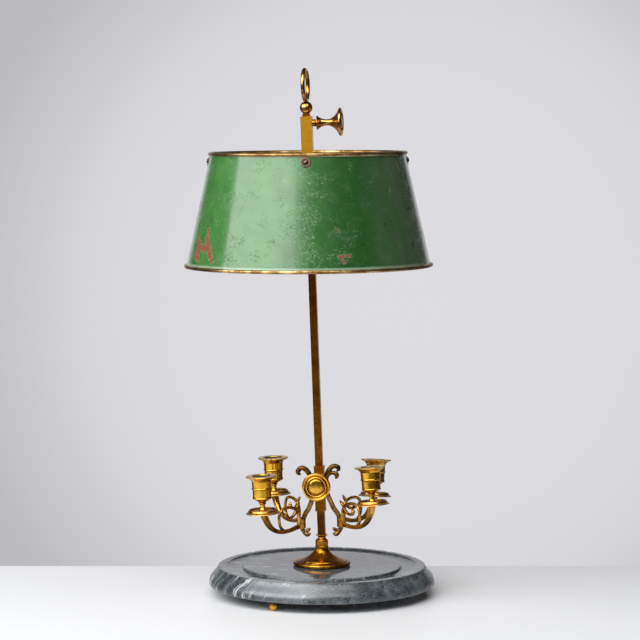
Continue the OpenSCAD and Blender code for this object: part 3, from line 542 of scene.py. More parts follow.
def tole_lacquer():
    """Green oil lacquer on sheet iron, brushed on and stoved: semi-gloss, with an orange-peel skin.

    Flakes show the red-brown primer inside a pale broken lip; rubbed places turn paler. Painted shade
    deepens the right-hand side, and painted highlights and a painted reflection lighten the pressed
    ridges, the lower edge and the right-hand edge.
    """
    material, tree, place, _ = start_material("Green_lacquer_on_sheet_iron")
    level = add(tree, "ShaderNodeSeparateXYZ", [place])
    shade_place = on_bar(SHADE_RIM_AT) @ turn(SHADE_TRIM, "Y")
    own = add(tree, "ShaderNodeMapping", seen_from(shade_place, place))
    own = add(tree, "ShaderNodeSeparateXYZ", [own])
    front = add(tree, "ShaderNodeMath", [own.outputs["Y"], -1.0], operation="MULTIPLY")
    round_it = add(tree, "ShaderNodeMath", [own.outputs["X"], front], operation="ARCTAN2")
    across = add(tree, "ShaderNodeMath", [round_it, SHADE_MIDDLE_R], operation="MULTIPLY")
    height = add(tree, "ShaderNodeMath", [level.outputs["Z"], 1000.0], operation="MULTIPLY")
    sheet = add(tree, "ShaderNodeCombineXYZ", {"X": across, "Y": height})
    # Ragged outlines: the flat place is pushed about by up to 4 mm
    ragged = add(tree, "ShaderNodeTexNoise", {"Vector": sheet, "Scale": 0.4, "Detail": 7, "Roughness": 0.75})
    rough_place = add(tree, "ShaderNodeVectorMath", [ragged.outputs["Color"], (14, 14, 0), sheet],
                      operation="MULTIPLY_ADD")
    rough_place = add(tree, "ShaderNodeVectorMath", [rough_place, (7, 7, 0)], operation="SUBTRACT")
    off_flake = off_strokes(tree, rough_place, FLAKES)
    off_pit = off_strokes(tree, rough_place, PITS)
    flaked = add(tree, "ShaderNodeMapRange", [off_flake, 0.25, -0.15])
    pitted = add(tree, "ShaderNodeMapRange", [off_pit, 0.3, -0.2])
    lip_of_flake = add(tree, "ShaderNodeMapRange", [off_flake, 0.8, 0.3, 0, 0.5])
    # The green: brushed clouds of about 30 mm, darker pinholes, paler rubbed films, and painted shade: a
    # deeper colour painted over the right-hand side, away from the key light
    clouds = add(tree, "ShaderNodeTexNoise", {"Vector": place, "Scale": 30, "Detail": 7, "Roughness": 0.6})
    green = add(tree, "ShaderNodeValToRGB", {"Fac": clouds},
                stops=[(0.3, "386d31"), (0.5, "437c3b"), (0.7, "4f8845")])
    # 1 on the right-hand side and -1 on the left, all the way round
    from_side = add(tree, "ShaderNodeMath", [round_it, 1.3], operation="SUBTRACT")
    to_right = add(tree, "ShaderNodeMath", [from_side], operation="COSINE")
    # Painted shade: the right-hand side is painted a deeper green
    painted_shade_right = add(tree, "ShaderNodeMapRange", [to_right, 0.17, 0.62, 0.0, 0.85])
    films = add(tree, "ShaderNodeTexNoise",
                {"Vector": place, "Scale": 75, "Detail": 8, "Roughness": 0.72, "Distortion": 0.6})
    film = add(tree, "ShaderNodeMapRange", [films, 0.54, 0.8, 0, 0.3])
    specks = add(tree, "ShaderNodeTexVoronoi", {"Vector": place, "Scale": 260, "Randomness": 1.0})
    speck_size = add(tree, "ShaderNodeTexNoise", {"Vector": place, "Scale": 90, "Detail": 2})
    speck_edge = add(tree, "ShaderNodeMapRange", [speck_size, 0.55, 0.75, 0.0, 0.22])
    speck = add(tree, "ShaderNodeMath", [specks, speck_edge], operation="LESS_THAN")
    dark_speck = add(tree, "ShaderNodeMath", [speck, 0.6], operation="MULTIPLY")
    # Fine scratches, drawn 0.4 mm wide so that they show
    scratch_place = add(tree, "ShaderNodeMapping",
                        {"Vector": place, "Rotation": (0.5, 0.9, 0.3), "Scale": (1, 9, 1)})
    scratches = add(tree, "ShaderNodeTexNoise",
                    {"Vector": scratch_place, "Scale": 46, "Detail": 3, "Distortion": 1.4})
    scratch = add(tree, "ShaderNodeMapRange", [scratches, 0.7, 0.74, 0, 0.5])
    # Small knocks and wrinkles pressed into the coat, in clusters: ridges 1.5 mm wide
    wrinkles = add(tree, "ShaderNodeTexNoise",
                   {"Vector": sheet, "Scale": 0.2, "Detail": 2, "Roughness": 0.55, "Distortion": 1.0})
    off_ridge = off_middle(tree, wrinkles, 0.5)
    ridge = add(tree, "ShaderNodeMapRange", [off_ridge, 0.06, 0.0])
    patches = add(tree, "ShaderNodeTexNoise", {"Vector": sheet, "Scale": 0.045, "Detail": 3})
    # Thickest in a band down the front
    off_band = off_middle(tree, round_it, 0.1)
    near_band = add(tree, "ShaderNodeMapRange", [off_band, 0.17, 0.03, 0, 0.12])
    where = add(tree, "ShaderNodeMath", [patches, near_band], operation="ADD")
    clustered = add(tree, "ShaderNodeMapRange", [where, 0.52, 0.64])
    short = add(tree, "ShaderNodeTexNoise", {"Vector": sheet, "Scale": 0.3, "Detail": 2})
    cut_short = add(tree, "ShaderNodeMapRange", [short, 0.48, 0.54])
    marks = add(tree, "ShaderNodeMath", [ridge, clustered], operation="MULTIPLY")
    marks = add(tree, "ShaderNodeMath", [marks, cut_short], operation="MULTIPLY")
    # The ridges are painted paler: partly rubbed lacquer, partly a painted highlight where they catch the
    # light
    rubbed = add(tree, "ShaderNodeMath", [marks, 0.12], operation="MULTIPLY")
    # Long fine cracks, drawn 0.8 mm wide so that they show, which come and go
    crack_field = add(tree, "ShaderNodeTexNoise",
                      {"Vector": sheet, "Scale": 0.045, "Detail": 2, "Distortion": 0.8})
    off_crack = off_middle(tree, crack_field, 0.52)
    crack = add(tree, "ShaderNodeMapRange", [off_crack, 0.012, 0.003, 0, 0.5])
    crack_there = add(tree, "ShaderNodeMapRange", [films, 0.5, 0.6])
    crack = add(tree, "ShaderNodeMath", [crack, crack_there], operation="MULTIPLY")
    # A pale line where the sheet meets the lower wired edge: partly rubbed lacquer, partly a painted
    # highlight where the sheet turns into the bead
    down = add(tree, "ShaderNodeMath", [own.outputs["Z"], -1000.0, films], operation="MULTIPLY_ADD")
    low_edge_wear_and_highlight = add(tree, "ShaderNodeMapRange", [down, SHADE_H - 5.2, SHADE_H - 3.6, 0, 0.75])
    # A chalky grey film over the right-hand side, in vertical wipes: partly pale scuffs, partly a painted
    # reflection along that edge
    wiped = add(tree, "ShaderNodeMapping", {"Vector": sheet, "Scale": (0.05, 0.012, 1)})
    wipes = add(tree, "ShaderNodeTexNoise", {"Vector": wiped, "Scale": 1.0, "Detail": 6, "Roughness": 0.6})
    right_film_mask = add(tree, "ShaderNodeMapRange", [to_right, 0.765, 0.99, 0.0, 0.9])
    scuffs_and_painted_reflection = add(tree, "ShaderNodeMath", [right_film_mask, wipes], operation="MULTIPLY")
    # Marks laid over the green, among them painted shade on the right, painted highlights on the ridges and
    # the lower edge, and a painted reflection on the right-hand edge
    for where, colour in ((painted_shade_right, "1d4d1b"), (film, "6f9268"), (dark_speck, "23401f"), (scratch, "7fa374"),
                          (rubbed, "7fa87a"), (crack, "27521f"), (low_edge_wear_and_highlight, "a3b99c"), (scuffs_and_painted_reflection, "66705f"),
                          (lip_of_flake, "8fae84"), (pitted, "1a1712")):
        green = add(tree, "ShaderNodeMix", [where, green, shade_of(colour)], data_type="RGBA")
    primer_noise = add(tree, "ShaderNodeTexNoise",
                       {"Vector": place, "Scale": 330, "Detail": 5, "Roughness": 0.7})
    primer = add(tree, "ShaderNodeValToRGB", {"Fac": primer_noise},
                 stops=[(0.3, "5e341c"), (0.52, "84522e"), (0.75, "a3744c")])
    colour = add(tree, "ShaderNodeMix", [flaked, green, primer], data_type="RGBA")
    dull = add(tree, "ShaderNodeMapRange", [films, 0.35, 0.75, 0.2, 0.36])
    gloss = add(tree, "ShaderNodeMath", [flaked, 0.5, dull], operation="MULTIPLY_ADD")
    coat = add(tree, "ShaderNodeMapRange", [flaked, 0.0, 1.0, 0.85, 0.1])
    # Orange peel of about 2 mm, brush drag, and the step down into each flake
    peel = add(tree, "ShaderNodeTexNoise", {"Vector": place, "Scale": 420, "Detail": 2, "Roughness": 0.5})
    dragged = add(tree, "ShaderNodeMapping", {"Vector": sheet, "Scale": (0.35, 0.03, 1)})
    waves = add(tree, "ShaderNodeTexNoise", {"Vector": dragged, "Scale": 1.0, "Detail": 3})
    skin = peel
    for form, rise in ((waves, 1.5), (speck, 0.8), (marks, 5.5), (flaked, -6.0)):
        skin = add(tree, "ShaderNodeMath", [form, rise, skin], operation="MULTIPLY_ADD")
    bump = add(tree, "ShaderNodeBump", {"Height": skin, "Distance": 0.08 * MM, "Strength": 0.5})
    end_material(tree,
                 {"Base Color": colour, "Roughness": gloss, "IOR": 1.5, "Coat Weight": coat,
                  "Coat Roughness": 0.1, "Coat IOR": 1.5, "Normal": bump, "Coat Normal": bump})
    return material


def stove_enamel():
    """Off-white stove enamel, which throws the candlelight down: satin, yellowed, sooty above."""
    material, tree, place, _ = start_material("Off_white_stove_enamel")
    level = add(tree, "ShaderNodeSeparateXYZ", [place])
    blot = add(tree, "ShaderNodeTexNoise", {"Vector": place, "Scale": 26, "Detail": 7, "Roughness": 0.65})
    base = add(tree, "ShaderNodeValToRGB", {"Fac": blot},
               stops=[(0.3, "c2b797"), (0.55, "d8cfb4"), (0.75, "e2dbc6")])
    smoke = add(tree, "ShaderNodeMapRange", [level.outputs["Z"], 0.47, 0.57, 0.0, 0.55])
    sooty = add(tree, "ShaderNodeMath", [smoke, blot], operation="MULTIPLY")
    colour = add(tree, "ShaderNodeMix", [sooty, base, shade_of("5b4f3c")], data_type="RGBA")
    spots = add(tree, "ShaderNodeTexNoise", {"Vector": place, "Scale": 310, "Detail": 3})
    rust = add(tree, "ShaderNodeMapRange", [spots, 0.66, 0.72, 0, 0.7])
    colour = add(tree, "ShaderNodeMix", [rust, colour, shade_of("7a5234")], data_type="RGBA")
    rough = add(tree, "ShaderNodeMapRange", [blot, 0.3, 0.7, 0.38, 0.55])
    bump = add(tree, "ShaderNodeBump", {"Height": spots, "Distance": 0.06 * MM, "Strength": 0.4})
    end_material(tree, {"Base Color": colour, "Roughness": rough, "Normal": bump})
    return material


def plain_steel():
    """Mild steel washer and nut, pressed and left bare: grey, brushed, with a breath of rust."""
    material, tree, place, _ = start_material("Bare_mild_steel")
    grain = add(tree, "ShaderNodeTexNoise", {"Vector": place, "Scale": 300, "Detail": 6, "Roughness": 0.7})
    colour = add(tree, "ShaderNodeValToRGB", {"Fac": grain},
                 stops=[(0.35, "5b534b"), (0.55, "8d8a86"), (0.75, "a3a19d")])
    rough = add(tree, "ShaderNodeMapRange", [grain, 0.3, 0.7, 0.55, 0.32])
    bump = add(tree, "ShaderNodeBump", {"Height": grain, "Distance": 0.05 * MM, "Strength": 0.5})
    end_material(tree, {"Base Color": colour, "Metallic": 1.0, "Roughness": rough, "Normal": bump})
    return material


# Sand-cast brass under old lacquer: the scroll arms, golden with brown in every hollow
CAST_BRASS = brass("Cast_brass_old_lacquer", "e2a84c", "9c691c", "3a1e08", rough=(0.24, 0.4), tarnish=0.5,
                   soiled_at=(0.94, 0.4))
# Turned nozzles, wiped bright outside and dark green with verdigris in the socket and under the lips
NOZZLE_BRASS = brass("Turned_brass_verdigris", "f6be44", "c98616", "2f2a0c", rough=(0.18, 0.36),
                     tarnish=0.2, soiled_at=(0.96, 0.45), pitted=0.12, wavy=0.08, green="7f8468",
                     sockets=[at_arm_end(which) for which in ARMS])
# Spun pans, whose upper faces wear a grey bloom of verdigris and old wax
PAN_BRASS = brass("Spun_brass_bloom", "d69e4c", "a4722a", "3e2410", rough=(0.24, 0.4), tarnish=0.4,
                  hollow=3.0, soiled_at=(0.96, 0.5), wavy=0.2, green="9a8773")
# Turned and burnished brass: the branch's thumbscrew and the feet, the brightest metal
TURNED_BRASS = brass("Turned_brass_burnished", "f4ba4c", "bf8222", "3a1e06", rough=(0.2, 0.34),
                     tarnish=0.24, hollow=4.0, soiled_at=(0.98, 0.55), pitted=0.12, wavy=0.07)
# The ring, its ball and the upper thumbscrew, dulled to bronze where hands don't reach
HANDLE_BRASS = brass("Turned_brass_dulled", "dcab62", "a67334", "372009", rough=(0.2, 0.34), tarnish=0.55,
                     pitted=0.2, wavy=0.16)
# The foot, turned and lacquered: browner, with a soft satin shine
FOOT_BRASS = brass("Turned_brass_brown_lacquer", "d99a35", "96600f", "402205", rough=(0.24, 0.36),
                   tarnish=0.62, hollow=6.0, pitted=0.2, wavy=0.16)
# Drawn brass bar, long tarnished: deep brown, and darker still by the foot
BAR_BRASS = brass("Drawn_brass_bar_tarnished", "b06c16", "80480c", "301804", rough=(0.26, 0.4),
                  tarnish=0.6, worn=0.7, pitted=0.25, darker=(118, 104, 0.42))
# Drawn tube of the shade's sleeve, wiped bright by hands
SLEEVE_BRASS = brass("Drawn_brass_tube_wiped", "ffc43a", "e39c18", "6a3c06", rough=(0.28, 0.4),
                     tarnish=0.26, pitted=0.2)
# Older castings: the brackets, olive-brown, their ridges paler (partly rubbed, partly a painted highlight),
# and darker from the bosses upwards
BRACKET_BRASS = brass("Cast_brass_tarnished", "dcae72", "8a6230", "2a190a", rough=(0.24, 0.42),
                      tarnish=0.66, worn=1.0, darker=(144, 156, 0.5))
# The collar that grips the bar, cut from drawn tube: orange-gold, with painted shade darkening it towards its
# lower end
COLLAR_BRASS = brass("Drawn_brass_tube_lacquered", "cf8a1a", "a4690b", "3c2004", rough=(0.28, 0.42),
                     tarnish=0.36, pitted=0.2, darker=(146, 122, 0.55))
# Gilt over the wired edges, rubbed through to brown
RIM_GILT = brass("Gilt_wired_edge_rubbed", "e2c592", "a8804a", "46300f", rough=(0.28, 0.46), tarnish=0.78,
                 worn=0.6, hollow=3.0)
# Dark bronzed screw heads
DARK_SCREW = brass("Bronzed_screw_head", "75604f", "4c3b2d", "241a13", rough=(0.26, 0.42), tarnish=0.7)
MARBLE = bardiglio()
LACQUER = tole_lacquer()
ENAMEL = stove_enamel()
STEEL = plain_steel()

FINISHES = {
    "ball_feet": TURNED_BRASS,
    "stem_foot": FOOT_BRASS,
    "stem": BAR_BRASS,
    "tie_washer": STEEL,
    "tie_nut": STEEL,
    "ring_handle": HANDLE_BRASS,
    "branch_collar": COLLAR_BRASS,
    "boss_pins": CAST_BRASS,
    "branch_thumbscrew": TURNED_BRASS,
    "shade_thumbscrew": HANDLE_BRASS,
    "shade_sleeve": SLEEVE_BRASS,
    "shade_spider": BAR_BRASS,
    "shade_top_rim": RIM_GILT,
    "shade_bottom_rim": RIM_GILT,
    "shade_nuts": BAR_BRASS,
}
for which in ARMS:
    FINISHES["pan_" + which] = PAN_BRASS
    FINISHES["nozzle_" + which] = NOZZLE_BRASS
for name, material in FINISHES.items():
    if nodes[name].data.materials:
        nodes[name].data.materials[0] = material
    else:
        nodes[name].data.materials.append(material)


# ---- Cast scroll arms and brackets -------------------------------------------------------

# Outlines of the castings: x and z in shares of the casting's own size, and thickness in shares of
# its bars' half thickness
ARM_BAR = [[0.015, -0.012, 1.11], [0.138, -0.042, 1.11], [0.277, -0.104, 1], [0.4, -0.119, 1],
           [0.523, -0.108, 1], [0.615, -0.058, 1], [0.698, 0.023, 1.08], [0.782, 0.154, 1.19],
           [0.855, 0.335, 1.34], [0.914, 0.554, 1.49], [0.957, 0.785, 1.64], [0.978, 1.02, 1.72]]
ARM_LOOP = [[0.077, -0.019, 0.63], [0.058, 0.231, 1], [0.057, 0.462, 1], [0.08, 0.692, 1],
            [0.123, 0.831, 1.05], [0.194, 0.931, 1.1], [0.292, 1.004, 1.1], [0.4, 1.015, 1.1],
            [0.495, 0.954, 1.05], [0.557, 0.808, 1], [0.585, 0.608, 1], [0.585, 0.385, 1],
            [0.563, 0.169, 1], [0.508, 0.008, 1], [0.431, -0.104, 0.63]]
ARM_CURL = [[0.122, 0.831, 0.68], [0.132, 0.754, 1.05], [0.166, 0.638, 1.16], [0.225, 0.535, 1],
            [0.302, 0.492, 1], [0.369, 0.523, 1.21], [0.4, 0.615, 1.21], [0.382, 0.692, 0.89],
            [0.354, 0.685, 0.42]]
ARM_THORN = [[0.148, 0.869, 0.74], [0.098, 0.946, 1.1], [0.058, 1.046, 1], [0.015, 1.162, 0.37]]
BRACKET_STRUT = [[-0.17, 0.34, 0.71], [0.07, 0.11, 0.94], [0.13, -0.14, 1], [0.31, -0.36, 1],
                 [0.53, -0.59, 1], [0.77, -0.75, 1], [0.96, -0.95, 1]]
BRACKET_SCROLLS = {
    -1: [[[0.1, -0.11, 0.42], [0.11, 0.12, 0.7], [0.15, 0.35, 0.95], [0.33, 0.6, 1.05], [0.52, 0.81, 1.05],
          [0.76, 0.92, 1], [0.97, 0.885, 1], [1.09, 0.775, 1.03], [1.05, 0.675, 0.86], [0.98, 0.64, 0.52]]],
    1: [[[0.1, -0.11, 0.42], [0.1, 0.13, 0.71], [0.11, 0.43, 0.95], [0.25, 0.74, 1.02], [0.5, 0.94, 1],
         [0.74, 0.98, 0.94], [0.91, 0.91, 1], [0.925, 0.82, 0.84], [0.865, 0.775, 0.5]],
        [[0.1, 0.43, 0.71], [0.32, 0.625, 0.78], [0.57, 0.67, 0.8], [0.78, 0.6, 0.97], [0.81, 0.5, 0.88],
         [0.75, 0.44, 0.52]]],
}
BRACKET_VOLUTE = [[-0.03, 0.2, 0.9], [-0.04, 0.49, 0.9], [-0.18, 0.81, 0.87], [-0.35, 1, 1],
                  [-0.49, 0.985, 0.74], [-0.53, 0.92, 0.42]]
BRACKET_SPUR = [[-0.16, 0.63, 0.52], [-0.33, 0.68, 0.66], [-0.47, 0.605, 0.76], [-0.54, 0.53, 0.45]]
PLAIN = round_section()
FLUSH = 0.05  # how far an arm's root stands out of its boss, in mm


def drawn(outline, corner, size, half):
    """An outline in millimetres: each point's x, z and half thickness."""
    return [[corner[0] + x * size[0], corner[1] + z * size[1], r * half] for x, z, r in outline]


def make_arm(which):
    """Reeded bar, loop, curl and thorn, run together as one casting with its pan seat."""
    size = (ARM_REACH, ARM_RISE)
    parts = [swept_bar(drawn(ARM_BAR, (0, 0), size, ARM_R), REEDED)]
    for outline in (ARM_LOOP, ARM_CURL, ARM_THORN):
        parts.append(swept_bar(drawn(outline, (0, 0), size, SCROLL_R), PLAIN))
    seat, seat_faces = turned([[0, -3.4], [2.9, -3.4], [3.2, -2.2], [5.9, -0.1], [6, 0.6], [0, 0.6]])
    m = np.array(at_arm(which).inverted() @ at_arm_end(which))
    parts.append((seat @ m[:3, :3].T + m[:3, 3], seat_faces))
    piece = cast("scroll_" + which, parts, at_arm(which), CAST_BRASS)
    # The root sits flush on its boss, and the seat flush under its pan
    boss = at_boss(ARMS[which][0])
    p = vertices(piece, boss)
    r = np.hypot(p[:, 0], p[:, 1])
    inside = (r < BOSS_R + FLUSH) & (np.abs(p[:, 2]) < BOSS_H / 2 + 6)
    grow = (BOSS_R + FLUSH) / np.maximum(r, 0.5)
    p[inside, :2] *= grow[inside, None]
    set_vertices(piece, p, boss)
    end = at_arm_end(which)
    p = vertices(piece, end)
    over_seat = (p[:, 2] > 0) & (np.hypot(p[:, 0], p[:, 1]) < 12)
    p[over_seat, 2] = 0
    set_vertices(piece, p, end)
    return declared(piece, "candle_branch", ["arm_" + which])


def make_bracket(side):
    """Reeded strut, upper scrolls, boss and lower volute, cast in one and fixed to the collar's wall."""
    wall = COLLAR_HALF
    out = BOSS_OUT - wall
    x, z = BOSS_OUT, -BOSS_DOWN
    strut = drawn(BRACKET_STRUT, (wall - STRUT_IN[side] * out, 0), (out, BOSS_DOWN), BRACKET_R)
    parts = [swept_bar(strut, REEDED)]
    for outline in BRACKET_SCROLLS[side]:
        parts.append(swept_bar(drawn(outline, (wall, 0), (out, BRACKET_RISE), BRACKET_R), PLAIN))
    for outline in (BRACKET_VOLUTE, BRACKET_SPUR):
        parts.append(swept_bar(drawn(outline, (x, z), (out, -BRACKET_DROP), BRACKET_R), PLAIN))
    half, edge = BOSS_H / 2, 0.7
    boss, boss_faces = turned([[0, -half], [BOSS_R - edge, -half], [BOSS_R, -half + edge],
                               [BOSS_R, half - edge], [BOSS_R - edge, half], [0, half]])
    parts.append((boss + [x, 0, z], boss_faces))
    if side < 0:  # mirrored: X changes sign and the faces turn round
        parts = [(p * [-1, 1, 1], [f[::-1] for f in faces]) for p, faces in parts]
    place = on_bar(BRANCH_AT)
    piece = cast("bracket_casting_" + ("left" if side < 0 else "right"), parts, place, BRACKET_BRASS)
    # Its back lies flat on the collar's wall
    p = vertices(piece, place)
    back = wall + 0.02
    p[p[:, 0] * side < back, 0] = side * back
    set_vertices(piece, p, place)
    return declared(piece, "candle_branch", ["bracket_left" if side < 0 else "bracket_right"])


for which in ARMS:
    make_arm(which)
make_bracket(-1)
make_bracket(1)


# ---- The marble base ---------------------------------------------------------------------


# Where the slab is chipped: an edge's radius and height, how far its chips reach, how deep they are
# and how rare
CHIPPED_EDGES = [
    (BASE_TOP_R - 0.5, BASE_H - 0.3, 1.3, 0.8, 0.3),
    (PLATEAU_R + 0.2, BASE_H - 0.6, 1.4, 0.7, 0.28),
    (BASE_R - 0.4, 1.2, 1.8, 0.7, 0.42),
]


def arc(middle, radius, start, end, count):
    """Points of an arc between two angles in radians."""
    a = np.linspace(start, end, count)
    return np.stack([middle[0] + radius * np.cos(a), middle[1] + radius * np.sin(a)], 1)


def make_slab():
    """The turned slab: swelling side, rim, channel and raised centre, chipped along its edges."""
    side_h = BASE_H - 4
    channel_r = BASE_TOP_R - RIM_W
    cove_r = channel_r - PLATEAU_R - 6
    share = np.linspace(0, 1, 25)
    swell = share - 0.07 * np.sin(2 * np.pi * share) - 0.13 * np.sin(np.pi * share)
    side = np.stack([BASE_R - 0.2 - (BASE_R - BASE_TOP_R) * swell, 4 + (side_h - 0.8) * share], 1)
    toe_r, brow_r = 2.4, 1.6
    toe = arc((BASE_R - toe_r, toe_r), toe_r, -np.pi / 2, 0, 7)
    a = np.linspace(0, np.pi / 2, 13)
    cove = np.stack([channel_r - cove_r * (1 - np.cos(a)), BASE_H - CHANNEL_D * np.sin(a)], 1)
    brow = arc((PLATEAU_R - 1.2, BASE_H - brow_r), brow_r, 0.25, np.pi / 2, 5)
    below = [[BASE_HOLE_R, RECESS_D], [RECESS_R, RECESS_D], [RECESS_R, 0], [BASE_R - 4, 0]]
    rim = [[BASE_TOP_R - 0.25, BASE_H - 0.5], [BASE_TOP_R - 0.6, BASE_H - 0.15], [BASE_TOP_R - 1.1, BASE_H],
           [BASE_TOP_R - 4, BASE_H], [channel_r + 1, BASE_H]]
    channel = [[PLATEAU_R + 2, BASE_H - CHANNEL_D], [PLATEAU_R + 0.6, BASE_H - CHANNEL_D + 0.3]]
    top = [[radius, BASE_H] for radius in (PLATEAU_R - 4, 70, 36, BASE_HOLE_R)]
    profile = np.concatenate([below, toe, side, rim, cove[1:], channel, brow, top])
    count = 600
    a = np.linspace(0, 2 * np.pi, count, endpoint=False)
    r = np.repeat(profile[:, 0, None], count, 1)
    z = np.repeat(profile[:, 1, None], count, 1)
    # Chips of 1 to 4 mm off the rim's edge and the brow of the raised centre, and a few off the toe
    for edge_r, edge_z, reach, deep, rare in CHIPPED_EDGES:
        span = edge_r * 0.28
        chip = np.array([noise.noise((math.cos(t) * span, math.sin(t) * span, edge_z)) for t in a])
        chip = np.clip((chip - rare) / 0.2, 0, 1)
        off_edge = np.hypot(profile[:, 0] - edge_r, profile[:, 1] - edge_z)
        close = np.clip(1.4 - off_edge / reach, 0, 1)
        r -= deep * close[:, None] * chip
        z -= 0.6 * deep * close[:, None] * chip * (1 if edge_z > 5 else -1)
    points = np.stack([r * np.cos(a), r * np.sin(a), z + FEET_H], -1).reshape(-1, 3)
    slab = new_piece("marble_slab", points * MM, quads(len(profile), count, closed=True), [MARBLE],
                     "stand", ["marble_base"])
    smooth(slab.data, 40)


make_slab()


# ---- The sheet of the shade --------------------------------------------------------------


# Shallow dents, none near the rims or the screws: radians round the shade, mm below its top, and each
# one's width and depth in mm
DENTS = [
    (4.35, 70, 26, 0.35),
    (4.9, 96, 18, 0.3),
    (5.5, 62, 30, 0.3),
    (3.7, 88, 24, 0.35),
    (0.6, 80, 34, 0.4),
    (1.9, 74, 30, 0.4),
    (2.8, 100, 20, 0.35),
]


def sheet_r(depth):
    """The sheet's outer radius, at a depth below the shade's top."""
    return SHADE_TOP_R - RIM_R - SHEET_IN + SHEET_T / 2 + depth * SHADE_SLOPE


def make_sheet():
    """A rolled cone of sheet iron, lacquered outside and enamelled inside, a little dented."""
    bead_in = math.sqrt(RIM_R**2 - (SHEET_IN - SHEET_T / 2) ** 2) + 0.1
    round_count, down_count = 360, 64
    a = np.linspace(0, 2 * np.pi, round_count, endpoint=False)
    d = np.linspace(bead_in, SHADE_H - bead_in, down_count)
    angle, depth = np.meshgrid(a, d)
    dents = np.zeros_like(depth)
    for at_a, at_d, size, deep in DENTS:
        around = (np.mod(angle - at_a + np.pi, 2 * np.pi) - np.pi) * SHADE_MIDDLE_R
        dents -= deep * np.exp(-(around**2 + (depth - at_d) ** 2) / (2 * (size / 2) ** 2))
    # Out of round by a tenth of a millimetre
    dents += 0.12 * np.sin(3 * angle + 0.7) * np.sin(np.pi * depth / SHADE_H)
    edge = np.clip(np.minimum(depth - 24, SHADE_H - 10 - depth) / 16, 0, 1)
    dents *= edge * edge * (3 - 2 * edge)
    points = []
    for inset in (0, SHEET_T):
        r = sheet_r(depth) + dents - inset
        points.append(np.stack([r * np.cos(angle), r * np.sin(angle), -depth], -1).reshape(-1, 3))
    n = round_count * down_count
    grid = quads(down_count, round_count)
    faces = [(a, d, c, b) for a, b, c, d in grid]
    inner = [(n + b, n + c, n + d, n + a) for a, b, c, d in grid]
    lips = []
    low = (down_count - 1) * round_count
    for k in range(round_count):
        after = (k + 1) % round_count
        lips.append((k, after, n + after, n + k))
        lips.append((low + after, low + k, n + low + k, n + low + after))
    sheet = new_piece("shade_sheet", moved(np.concatenate(points), on_shade()), faces + inner + lips,
                      [LACQUER, ENAMEL], "shade_carrier", ["shade_shell"])
    index = np.array([0] * len(faces) + [1] * len(inner) + [0] * len(lips), np.int32)
    sheet.data.polygons.foreach_set("material_index", index)
    smooth(sheet.data, 38)


make_sheet()


# ---- Fastenings, repeated round the shade ------------------------------------------------


def spread_tree(name):
    """A Geometry Nodes tree that sets copies of a small form on given points and turns them with
    the points' own directions. Named inputs: Form, Size, Finish."""
    tree = bpy.data.node_groups.new(name, "GeometryNodeTree")
    face = tree.interface
    face.new_socket("Geometry", in_out="INPUT", socket_type="NodeSocketGeometry")
    face.new_socket("Form", in_out="INPUT", socket_type="NodeSocketObject")
    size = face.new_socket("Size", in_out="INPUT", socket_type="NodeSocketFloat")
    size.default_value = 1.0
    face.new_socket("Finish", in_out="INPUT", socket_type="NodeSocketMaterial")
    face.new_socket("Geometry", in_out="OUTPUT", socket_type="NodeSocketGeometry")
    given = add(tree, "NodeGroupInput")
    pattern = add(tree, "GeometryNodeObjectInfo", {"Object": given.outputs["Form"]})
    outward = add(tree, "GeometryNodeInputNamedAttribute", {"Name": "outward"}, data_type="FLOAT_VECTOR")
    aim = add(tree, "FunctionNodeAlignRotationToVector", {"Vector": outward}, axis="Z")
    copies = add(tree, "GeometryNodeInstanceOnPoints",
                 {"Points": given.outputs["Geometry"], "Instance": pattern.outputs["Geometry"],
                  "Rotation": aim, "Scale": given.outputs["Size"]})
    real = add(tree, "GeometryNodeRealizeInstances", {"Geometry": copies})
    finished = add(tree, "GeometryNodeSetMaterial", {"Geometry": real, "Material": given.outputs["Finish"]})
    add(tree, "NodeGroupOutput", {"Geometry": finished})
    return tree


SPREAD = spread_tree("Spread_fastenings")


def spread(name, form, seats, body, slot, replaced):
    """Copies of a turned form at each seat (a place whose Z points away from the work)."""
    points, faces = form
    pattern = linked(name + "_form", mesh_of(name + "_form", np.asarray(points) * MM, faces))
    smooth(pattern.data, 35)
    carrier_mesh = mesh_of(name + "_seats", [s.to_translation() * MM for s in seats], [])
    outward = carrier_mesh.attributes.new("outward", "FLOAT_VECTOR", "POINT")
    for i, s in enumerate(seats):
        outward.data[i].vector = s.to_3x3() @ Vector((0, 0, 1))
    carrier = linked(name + "_seats", carrier_mesh)
    layout = carrier.modifiers.new("spread", "NODES")
    layout.node_group = SPREAD
    wanted = {"Form": pattern, "Size": 1.0, "Finish": DARK_SCREW}
    for item in SPREAD.interface.items_tree:
        if item.in_out == "INPUT" and item.name in wanted:
            layout[item.identifier] = wanted[item.name]
    depsgraph = bpy.context.evaluated_depsgraph_get()
    made = bpy.data.meshes.new_from_object(carrier.evaluated_get(depsgraph))
    made.name = name
    carrier.modifiers.remove(layout)
    for used in (pattern, carrier):
        bpy.data.objects.remove(used)
    return declared(linked(name, made), body, replaced)


screw_seats = [
    on_shade() @ turn(around, "Z") @ at(sheet_r(SCREW_DOWN), 0, -SCREW_DOWN)
    @ turn(-math.degrees(math.atan(SHADE_SLOPE)), "Y") @ at(SCREW_OUT) @ turn(90, "Y")
    for around in (0, 90, 180, 270)
]
# Cup washer with a soft rolled edge
spread("shade_washer_set",
       turned([[0, 0.02], [5.7, 0.02], [6.2, 0.12], [6.3, 0.35], [6.1, 0.6], [5.4, 0.72], [4.4, 0.62],
               [0, 0.6]], 40),
       screw_seats, "shade_carrier", "aged_brass", ["shade_washers"])
